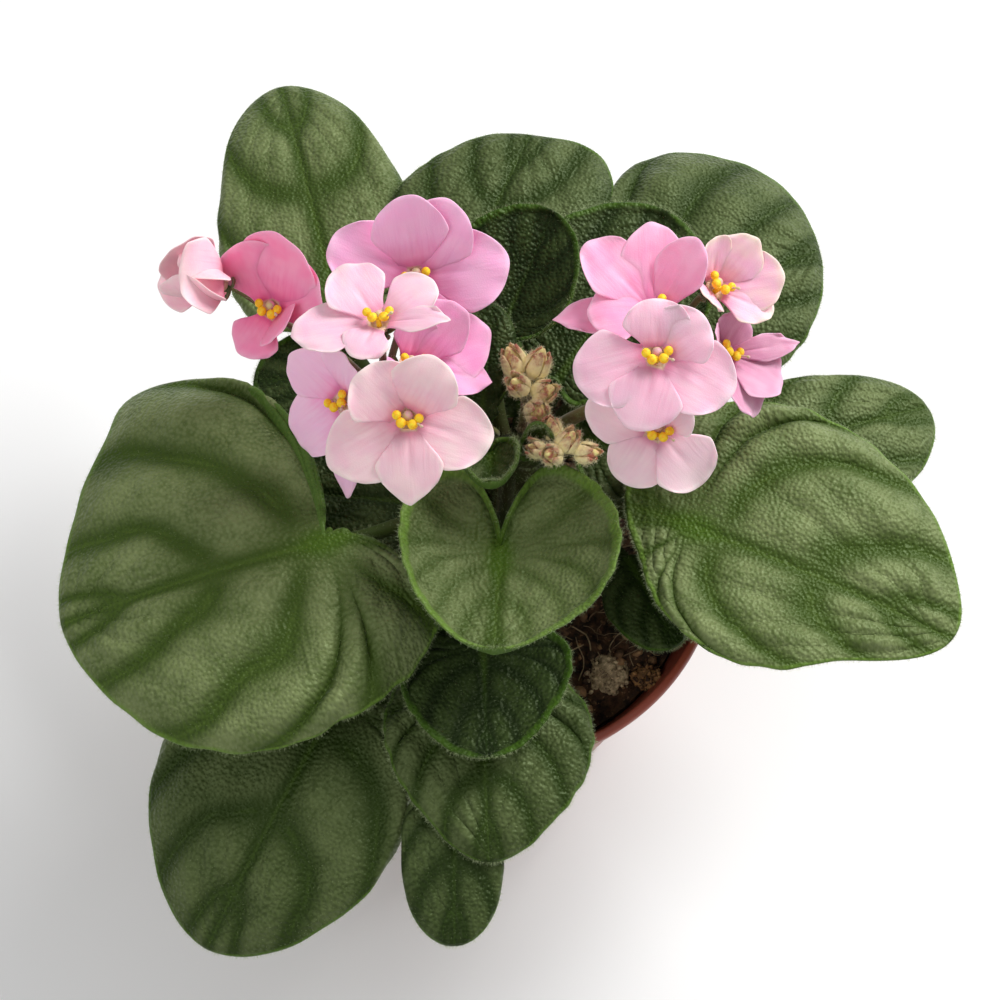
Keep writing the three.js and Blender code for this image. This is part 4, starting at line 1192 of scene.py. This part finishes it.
def add_pot(finishes):
    """The pot turned from its profile, with its drain holes cut by plain cylinders."""
    points, faces = turned(pot_profile(), 160)
    piece = add_piece("pot_shell", points, faces, finishes["pot"], "pot")
    cutters = []
    for k in range(POT["holes"]):
        angle = 2 * np.pi * k / POT["holes"]
        x, y = POT["hole_circle"] * math.cos(angle), POT["hole_circle"] * math.sin(angle)
        line = np.array(((x, y, -3.0), (x, y, 3 * POT["floor"])))
        cutters.append(plain(tube(line, POT["hole_radius"], 32)))
    points, faces, _ = joined(cutters)
    mesh = bpy.data.meshes.new("drain_holes")
    mesh.from_pydata((points * MM).tolist(), [], faces.tolist())
    cutter = new_object("drain_holes", mesh)
    cut = piece.modifiers.new("drain holes", "BOOLEAN")
    cut.object = cutter
    cut.solver = "EXACT"
    bpy.context.view_layer.update()
    ready = piece.evaluated_get(bpy.context.evaluated_depsgraph_get())
    holed = bpy.data.meshes.new_from_object(ready)
    piece.modifiers.clear()
    piece.data = holed
    bpy.data.objects.remove(cutter)
    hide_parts("pot")


def soil_height(x, y):
    """The same slow waves as the part's source, with crumbs of three sizes on them, sinking
    towards the wall of the pot."""
    slow = np.sin(0.31 * x + 1.3) * np.cos(0.27 * y) + 0.6 * np.sin(0.19 * x - 0.33 * y)
    place = flat_place(x, y)
    crumbs = 0.9 * lumps(place, 7, 11) + 0.7 * lumps(place, 3.1, 12) + 0.4 * lumps(place, 1.4, 13)
    ring = np.hypot(x, y)
    return SOIL_TOP + (1.6 * slow + crumbs) * smooth(58 - ring, 0, 12) - 4 * smooth(ring, 47, 54)


def add_soil(finishes, rng):
    """The body of the mix fills the pot, with crumbs, fibres and two larger lumps on top."""
    wall = pot_radius(86) - POT["wall"] - 0.3
    low = pot_radius(POT["floor"]) - POT["wall"] - 0.3
    rows, columns = SOIL_GRID
    around = np.linspace(0, 2 * np.pi, columns, endpoint=False)
    turn, ring = np.meshgrid(around, np.linspace(1, 0, rows))
    x, y = wall * ring * np.cos(turn), wall * ring * np.sin(turn)
    top = np.stack([x, y, soil_height(x, y)], axis=-1)
    circle = np.stack([np.cos(around), np.sin(around), np.zeros(columns)], axis=-1)
    walls = [circle * r + (0, 0, z) for r, z in ((0, 2.8), (low, 2.8), (wall, 85), (wall, 88))]
    points = np.concatenate([*walls, top.reshape(-1, 3)])
    points, faces, _ = weld(points, grid_faces(len(walls) + rows, columns, closed=True), {})
    piece = add_piece("potting_mix", points, faces, finishes["soil"], "soil")
    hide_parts("soil")
    add_crumbs(finishes, rng)
    add_fibres(finishes, rng)


def on_soil(count, rng, reach=SOIL_REACH):
    """Random places on the mix, even over its area: the distance from the middle is the reach
    times the square root of a random share."""
    radius = reach * np.sqrt(rng.random(count))
    angle = rng.uniform(0, 2 * np.pi, count)
    x, y = radius * np.cos(angle), radius * np.sin(angle)
    return np.stack([x, y, soil_height(x, y)], axis=-1)


def crumb(centre, size, seed):
    """A lump of peat: an egg with its points moved out and in by lumps of its own size."""
    spin = np.linalg.qr(np.random.default_rng(seed).normal(size=(3, 3)))[0]
    spin = spin * np.sign(np.linalg.det(spin))
    points, faces = ball((0, 0, 0), size, spin, 6, 8)
    grow = 1 + 0.5 * lumps(points + seed, np.mean(size) * 0.8, 21)
    return centre + points * grow[:, None], faces, {"tone": np.full(len(points), (seed % 97) / 97)}


def heap(centre, reach, count, rng):
    """Five rugged clods in a heap, with small crumbs that lie on and round them. A clod is an egg
    moved out and in by ridges of three sizes, and its tone is painted light on the ridges and painted
    shade in the crevices between them."""
    parts = []
    for turn in np.linspace(0.4, 2 * np.pi, 5):
        shift = reach * (0.42 * math.cos(turn), 0.42 * math.sin(turn), rng.uniform(-0.1, 0.15))
        points, faces = ball(shift, 0.62 * reach * rng.uniform(0.8, 1.15, 3), np.eye(3), 24, 34)
        grow = np.zeros(len(points))
        for number, size in enumerate((3.0, 1.5, 0.8)):
            grow += 0.34 * 0.72**number * (0.5 - np.abs(lumps(points + centre, size, 31 + number)))
        # Painted light and shade: palest on the ridges, darkest in the crevices.
        tone = np.clip(0.5 + 1.2 * (grow - grow.mean()), 0, 1)
        points = centre + shift + (points - shift) * (1 + grow)[:, None]
        parts.append((points, faces, {"tone": tone}))
    for seed in range(count):
        spoke = unit(np.append(rng.normal(size=2), abs(rng.normal()) * 0.8))
        size = rng.uniform(0.25, 0.7) * rng.uniform(0.7, 1.2, 3)
        parts.append(crumb(centre + spoke * reach * rng.uniform(0.95, 1.3), size, seed))
    return joined(parts)


def add_crumbs(finishes, rng):
    """Crumbs sunk a third in the mix, and the pale and the golden heap near the rim."""
    places = on_soil(CRUMBS, rng)
    sizes = 0.45 + 1.5 * rng.random(len(places)) ** 2.5
    parts = [
        crumb(place + (0, 0, 0.3 * size), size * rng.uniform(0.6, 1.2, 3), seed)
        for seed, (place, size) in enumerate(zip(places, sizes))
    ]
    points, faces, values = joined(parts)
    add_piece("peat_crumbs", points, faces, finishes["crumb"], "soil", values)
    for name, (centre, reach, count) in HEAPS.items():
        points, faces, values = heap(np.array(centre), np.array(reach), count, rng)
        add_piece(name, points, faces, finishes[name], "soil", values)


def add_fibres(finishes, rng):
    """Thin root and peat fibres that lie on the mix in loose curves."""
    parts = []
    for start in on_soil(FIBRES, rng, 48):
        angle = rng.uniform(0, 2 * np.pi)
        turn = np.cumsum(rng.normal(0, 0.35, FIBRE_POINTS))
        step = rng.uniform(0.7, 1.9)
        x = start[0] + np.cumsum(step * np.cos(angle + turn))
        y = start[1] + np.cumsum(step * np.sin(angle + turn))
        inside = np.minimum(1, SOIL_REACH / np.hypot(x, y))
        x, y = x * inside, y * inside
        arch = np.abs(np.sin(np.arange(FIBRE_POINTS) * rng.uniform(0.3, 0.8)))
        z = soil_height(x, y) + 0.35 + 0.5 * arch
        strand = tube(np.stack([x, y, z], axis=-1), rng.uniform(0.08, 0.22), 5)
        parts.append((strand[0], strand[1], {"tone": np.full(len(strand[0]), rng.random())}))
    points, faces, values = joined(parts)
    add_piece("peat_fibres", points, faces, finishes["fibre"], "soil", values)


# Finishes


class Finish:
    """A material in the making: each call adds a node and gives back its output."""

    def __init__(self, name, roughness, **sockets):
        self.material = bpy.data.materials.new(name)
        self.material.use_nodes = True
        self.tree = self.material.node_tree
        self.shader = self.tree.nodes["Principled BSDF"]
        self.set("Roughness", roughness)
        for socket, value in sockets.items():
            self.set(socket.replace("_", " "), value)

    def set(self, socket, value):
        """Links an output to a socket of the shader, or sets a plain value on it."""
        target = self.shader.inputs[socket]
        if isinstance(value, bpy.types.NodeSocket):
            self.tree.links.new(value, target)
        else:
            target.default_value = value

    def add(self, kind, links=(), output=0, **settings):
        """Adds a node, sets its properties, and links or sets its numbered inputs."""
        node = self.tree.nodes.new(kind)
        for key, value in settings.items():
            setattr(node, key, value)
        for key, value in dict(links).items():
            if isinstance(value, bpy.types.NodeSocket):
                self.tree.links.new(value, node.inputs[key])
            else:
                node.inputs[key].default_value = value
        return node.outputs[output]

    def value(self, name):
        """A number kept at each point of the piece."""
        return self.add("ShaderNodeAttribute", output="Fac", attribute_name=name)

    def place(self):
        """Place on the flat leaf or petal, in millimetres."""
        return self.add("ShaderNodeAttribute", output="Vector", attribute_name="place")

    def object_place(self):
        """Place on the piece, in metres."""
        return self.add("ShaderNodeTexCoord", output="Object")

    def noise(self, vector, size, detail=3.0, roughness=0.55):
        """Cloudy noise from about 0.3 to 0.7, with clouds of this size."""
        links = {"Vector": vector, "Scale": 1 / size, "Detail": detail, "Roughness": roughness}
        return self.add("ShaderNodeTexNoise", links)

    def cells(self, vector, size, feature="F1"):
        """Distance to the nearest of many points this far apart, scattered over a flat place."""
        links = {"Vector": vector, "Scale": 1 / size}
        return self.add("ShaderNodeTexVoronoi", links, voronoi_dimensions="2D", feature=feature)

    def step(self, value, low, high, start=0.0, end=1.0):
        """start below low and end above high, with a smooth step between."""
        links = {0: value, 1: low, 2: high, 3: start, 4: end}
        return self.add("ShaderNodeMapRange", links, interpolation_type="SMOOTHSTEP")

    def math(self, operation, a, b):
        """One sum, product or other operation on two numbers."""
        return self.add("ShaderNodeMath", {0: a, 1: b}, operation=operation)

    def mix(self, share, a, b):
        """Colour a at share 0 and b at share 1."""
        links = {0: share, 6: colour(a), 7: colour(b)}
        return self.add("ShaderNodeMix", links, output=2, data_type="RGBA")

    def bump(self, height, depth, strength, below=None):
        """Raises the surface's shading by a height from 0 to 1, this many metres deep."""
        links = {"Height": height, "Distance": depth, "Strength": strength}
        if below is not None:
            links["Normal"] = below
        return self.add("ShaderNodeBump", links)

    def grain(self, vector, size, depth, strength, detail=3.0, roughness=0.55):
        """A rough surface: bumps of cloudy noise of this size."""
        self.set("Normal", self.bump(self.noise(vector, size, detail, roughness), depth, strength))


def colour(value):
    """An output as it is, or three screen values from 0 to 255 as a linear colour: each share of
    255, plus 0.055 and divided by 1.055, to the power 2.4, and a dark one divided by 12.92."""
    if isinstance(value, bpy.types.NodeSocket):
        return value
    share = np.array(value) / 255
    linear = np.where(share <= 0.04045, share / 12.92, ((share + 0.055) / 1.055) ** 2.4)
    return (*linear.tolist(), 1.0)


def leaf_finish():
    """Velvety leaf: painted shade makes it dark green in the hollows and a painted sheen makes it
    greyer and lighter on the pillows, with light speckles of painted glints on them, veins, a greener
    heart and margin, a plain underside, and fine pebbles that catch the light."""
    finish = Finish(
        "leaf", 0.42, Sheen_Weight=0.05, Sheen_Roughness=0.5, Sheen_Tint=(0.8, 0.95, 0.7, 1),
        Specular_IOR_Level=0.24, Specular_Tint=(0.8, 1.0, 0.55, 1),
    )
    place = finish.place()
    tone, vein = finish.value("tone"), finish.value("vein")
    shade = {name: finish.mix(tone, *ends) for name, ends in LEAF_SHADES.items()}
    cloud = finish.step(finish.noise(place, 9, 4), 0.3, 0.7, 0.35, 1)
    # Painted shade and sheen: the hollows between the pillows are darkened and their crests made greyer
    # and lighter.
    crest = finish.step(vein, 0.15, 1.0)
    base = finish.mix(finish.math("MULTIPLY", crest, cloud), shade["shaded_hollow"], shade["pillow"])
    # Painted glints: light speckles on the crests.
    glint_speckle = finish.step(finish.cells(place, 1.0, "SMOOTH_F1"), 0.15, 0.6, 0.3, 0)
    base = finish.mix(finish.math("MULTIPLY", glint_speckle, crest), base, shade["glint_speckle"])
    base = finish.mix(finish.step(vein, 0.02, 0.16, 0.35, 0), base, shade["vein"])
    base = finish.mix(finish.step(finish.value("rib"), 0.2, 0.95, 0, 0.35), base, RIB_COLOUR)
    base = finish.mix(finish.step(finish.value("heart"), 0.05, 0.6, 0, 0.6), base, HEART_COLOUR)
    uneven = finish.step(finish.noise(place, 1.2), 0.3, 0.7, 0.55, 1)
    margin = finish.math("MULTIPLY", finish.step(finish.value("rim"), 0, 1, 0, 0.9), uneven)
    base = finish.mix(margin, base, shade["margin"])
    base = finish.mix(finish.step(finish.value("under"), 0.55, 0.95), base, UNDER_COLOUR)
    finish.set("Base Color", base)
    finish.set("Roughness", finish.step(finish.noise(place, 1.6, 2), 0.3, 0.7, 0.38, 0.56))
    pebbles = finish.bump(finish.cells(place, 0.95, "SMOOTH_F1"), 0.0005, 0.9)
    finish.set("Normal", finish.bump(finish.noise(place, 3.2, 4), 0.0005, 0.5, pebbles))
    return finish.material


def petiole_finish():
    """Leaf stalk: green with a reddish brown flush towards the crown, both darkened as painted shade."""
    finish = Finish(
        "petiole", 0.65, Sheen_Weight=0.03, Sheen_Roughness=0.5, Specular_IOR_Level=0.15,
    )
    place = finish.object_place()
    near = finish.step(finish.value("along"), 0.2, 1.1, 1, 0.2)
    flush = finish.math("MULTIPLY", near, finish.noise(place, 0.006))
    # Painted shade: both colours are darker than the stalks' own, for the shade that the petioles and
    # the crown lie in.
    base = finish.mix(flush, (46, 66, 14), (48, 30, 14))
    finish.set("Base Color", base)
    finish.grain(place, 0.0012, 0.0003, 0.6)
    return finish.material


def hair_finish(name, root, tip):
    """Hairs: one colour at the root and a paler one at the tip."""
    finish = Finish(name, 0.6, Sheen_Weight=0.1)
    finish.set("Base Color", finish.mix(finish.value("tip"), root, tip))
    return finish.material


def petal_finish(name):
    """Petal: body colour, a little deeper in soft streaks from the throat, a paler rim, a deep
    ring round the throat, and a satin surface."""
    body, deep, rim, throat = BLOOM_COLOURS[name][:4]
    finish = Finish(
        f"petal_{name}", 0.5, Sheen_Weight=0.15, Sheen_Roughness=0.4, Specular_IOR_Level=0.3,
        Subsurface_Weight=0.25, Subsurface_Scale=0.0012, Subsurface_Radius=(1.0, 0.45, 0.6),
    )
    place = finish.place()
    stretch = {0: place, 1: (1.0, 0.12, 1.0)}
    stretched = finish.add("ShaderNodeVectorMath", stretch, operation="MULTIPLY")
    streaks = finish.step(finish.noise(stretched, 1.1, 2), 0.35, 0.75)
    along = finish.value("along")
    cloud = finish.step(finish.noise(place, 7.5, 2), 0.35, 0.7)
    base = finish.mix(finish.math("MULTIPLY", cloud, 0.45), body, rim)
    near = finish.step(along, 0.1, 0.75, 0.5, 0.08)
    base = finish.mix(finish.math("MULTIPLY", streaks, near), base, deep)
    base = finish.mix(finish.step(along, 0.05, 0.5, 0.5, 0), base, deep)
    uneven = finish.math("MULTIPLY", finish.noise(place, 3.0), 0.16)
    edge = finish.math("ADD", finish.value("edge"), uneven)
    base = finish.mix(finish.step(edge, 0.9, 1.12, 0, 0.8), base, rim)
    base = finish.mix(finish.step(along, 0.04, 0.2, 0.75, 0), base, throat)
    base = finish.mix(finish.step(along, 0.0, 0.05, 0.8, 0), base, (236, 214, 176))
    finish.set("Base Color", base)
    small = finish.bump(finish.cells(place, 0.35), 0.00005, 0.4)
    finish.set("Normal", finish.bump(streaks, 0.00008, 0.4, small))
    return finish.material


def anther_finish():
    """Powdery bright yellow, mottled with a deeper yellow."""
    finish = Finish("anther", 0.6, Subsurface_Weight=0.2, Subsurface_Scale=0.0008)
    place = finish.object_place()
    cloud = finish.step(finish.noise(place, 0.0011), 0.35, 0.65)
    finish.set("Base Color", finish.mix(cloud, (250, 184, 6), (255, 220, 36)))
    finish.grain(place, 0.0003, 0.0001, 0.6)
    return finish.material


def fleshy_finish(name, low, high, size):
    """Plain plant tissue mottled between two colours, with a fine grain."""
    finish = Finish(name, 0.5, Sheen_Weight=0.15, Sheen_Roughness=0.5)
    place = finish.object_place()
    finish.set("Base Color", finish.mix(finish.step(finish.noise(place, size), 0.35, 0.65), low, high))
    finish.grain(place, 0.0008, 0.0002, 0.6)
    return finish.material


def sepal_finish(name, root, tip):
    """Sepal: one colour at the root and another at the tip, mottled."""
    finish = Finish(name, 0.55, Sheen_Weight=0.25, Sheen_Roughness=0.5)
    place = finish.object_place()
    cloud = finish.noise(place, 0.0018)
    share = finish.math("ADD", finish.value("along"), finish.math("SUBTRACT", cloud, 0.5))
    finish.set("Base Color", finish.mix(finish.step(share, 0.5, 1.1), root, tip))
    finish.grain(place, 0.0007, 0.0003, 0.7)
    return finish.material


def pot_finish():
    """Moulded red-brown plastic: satin, faintly mottled, with patches of dust and a fine
    grain."""
    finish = Finish("pot_plastic", 0.36)
    place = finish.object_place()
    base = finish.mix(finish.step(finish.noise(place, 0.02, 4), 0.3, 0.7), (138, 62, 46), (152, 72, 54))
    dust = finish.math("MULTIPLY", finish.step(finish.noise(place, 0.006, 5, 0.7), 0.55, 0.75), 0.3)
    base = finish.mix(dust, base, (120, 84, 66))
    finish.set("Base Color", base)
    finish.set("Roughness", finish.step(finish.noise(place, 0.004, 4), 0.3, 0.7, 0.3, 0.5))
    finish.grain(place, 0.0009, 0.00006, 0.5)
    return finish.material


def soil_finish():
    """Moist peat: mottled from near black to brown, with lighter specks."""
    finish = Finish("peat", 0.85)
    place = finish.object_place()
    crest = finish.step(finish.noise(place, 0.003, 5, 0.7), 0.35, 0.7)
    base = finish.mix(crest, (28, 17, 10), (116, 80, 52))
    base = finish.mix(finish.step(finish.noise(place, 0.0012), 0.62, 0.72), base, (182, 142, 102))
    finish.set("Base Color", base)
    finish.grain(place, 0.0013, 0.0011, 1.0, 5, 0.75)
    return finish.material


def toned_finish(name, dark, light, size, depth):
    """Pieces that each have a tone of their own between two colours, with a rough grain."""
    finish = Finish(name, 0.85)
    place = finish.object_place()
    grain = finish.step(finish.noise(place, size, 4, 0.7), 0.35, 0.7, -0.25, 0.25)
    share = finish.math("ADD", finish.value("tone"), grain)
    finish.set("Base Color", finish.mix(share, dark, light))
    finish.grain(place, size, depth, 1.0, 4, 0.7)
    return finish.material


def make_finishes():
    """Every material of the object, by the name that its pieces ask for."""
    finishes = {f"petal_{name}": petal_finish(name) for name in BLOOMS}
    finishes.update(
        leaf=leaf_finish(),
        petiole=petiole_finish(),
        fuzz=hair_finish("fuzz", (118, 138, 70), (204, 216, 172)),
        anther=anther_finish(),
        pistil=fleshy_finish("pistil", (226, 160, 180), (208, 200, 140), 0.0014),
        stalk=fleshy_finish("stalk", (96, 66, 44), (104, 104, 52), 0.008),
        sepal=sepal_finish("sepal", (104, 116, 58), (132, 88, 62)),
        bud=fleshy_finish("bud", (255, 244, 160), (196, 116, 92), 0.0016),
        bud_sepal=sepal_finish("bud_sepal", (255, 242, 184), (182, 108, 84)),
        bud_fuzz=hair_finish("bud_fuzz", (246, 230, 172), (255, 250, 224)),
        pot=pot_finish(),
        soil=soil_finish(),
        crumb=toned_finish("crumb", (52, 34, 22), (172, 130, 90), 0.0015, 0.0006),
        fibre=toned_finish("fibre", (88, 60, 38), (196, 170, 132), 0.002, 0.0001),
        pale_lump=toned_finish("pale_lump", (66, 42, 24), (255, 226, 180), 0.0009, 0.0003),
        golden_lump=toned_finish("golden_lump", (56, 34, 18), (210, 154, 96), 0.0009, 0.0003),
    )
    return finishes


# Studio


def add_floor():
    """A wide pale floor under the pot."""
    bpy.ops.mesh.primitive_plane_add(size=FLOOR["size"], location=(0, 0, 0))
    floor = bpy.context.object
    floor.name = "floor"
    finish = Finish("floor", 0.9)
    finish.set("Base Color", (*[FLOOR["brightness"]] * 3, 1))
    floor.data.materials.append(finish.material)


def add_light(name, place, size, power):
    """A square soft box that looks at the middle of the plant: the yaw and the tilt are the
    angles of the line from its place to there."""
    light = bpy.data.lights.new(name, "AREA")
    light.size = size
    light.energy = power
    lamp = new_object(name, light)
    lamp.location = place
    aim = np.array(LIGHT_AIM) - np.array(place)
    yaw = math.atan2(aim[1], aim[0]) - math.pi / 2
    tilt = math.atan2(aim[2], math.hypot(aim[0], aim[1])) + math.pi / 2
    lamp.rotation_euler = (tilt, 0, yaw)


def add_studio():
    """Floor, an even white room, a large soft box over the back and a weaker one in front."""
    add_floor()
    world = bpy.data.worlds.new("room")
    world.use_nodes = True
    background = world.node_tree.nodes["Background"]
    background.inputs["Color"].default_value = (1, 1, 1, 1)
    background.inputs["Strength"].default_value = ROOM_LIGHT
    bpy.context.scene.world = world
    bpy.context.scene.view_settings.view_transform = "Standard"
    for name, (place, size, power) in LIGHTS.items():
        add_light(name, place, size, power)


def add_camera():
    """The photograph's camera: steeply above the front of the plant."""
    camera = bpy.data.cameras.new("camera")
    camera.lens = CAMERA["lens"]
    camera.sensor_width = 36
    camera.clip_start = 0.01
    eye = new_object("camera", camera)
    eye.location = CAMERA["place"]
    eye.rotation_euler = (math.radians(90 - CAMERA["elevation"]), 0, 0)
    bpy.context.scene.camera = eye


# Assembly

rng = np.random.default_rng(SEED)
finishes = make_finishes()
for name in LEAVES:
    add_leaf(name, finishes, rng)
for name in BLOOMS:
    add_bloom(name, finishes, rng)
for cluster in FLOWER_STALKS:
    add_flower_stalks(cluster, finishes, rng)
for name in BUD_STALKS:
    add_bud_stalk(name, finishes, rng)
add_crown(finishes, rng)
add_pot(finishes)
add_soil(finishes, rng)
add_studio()
add_camera()
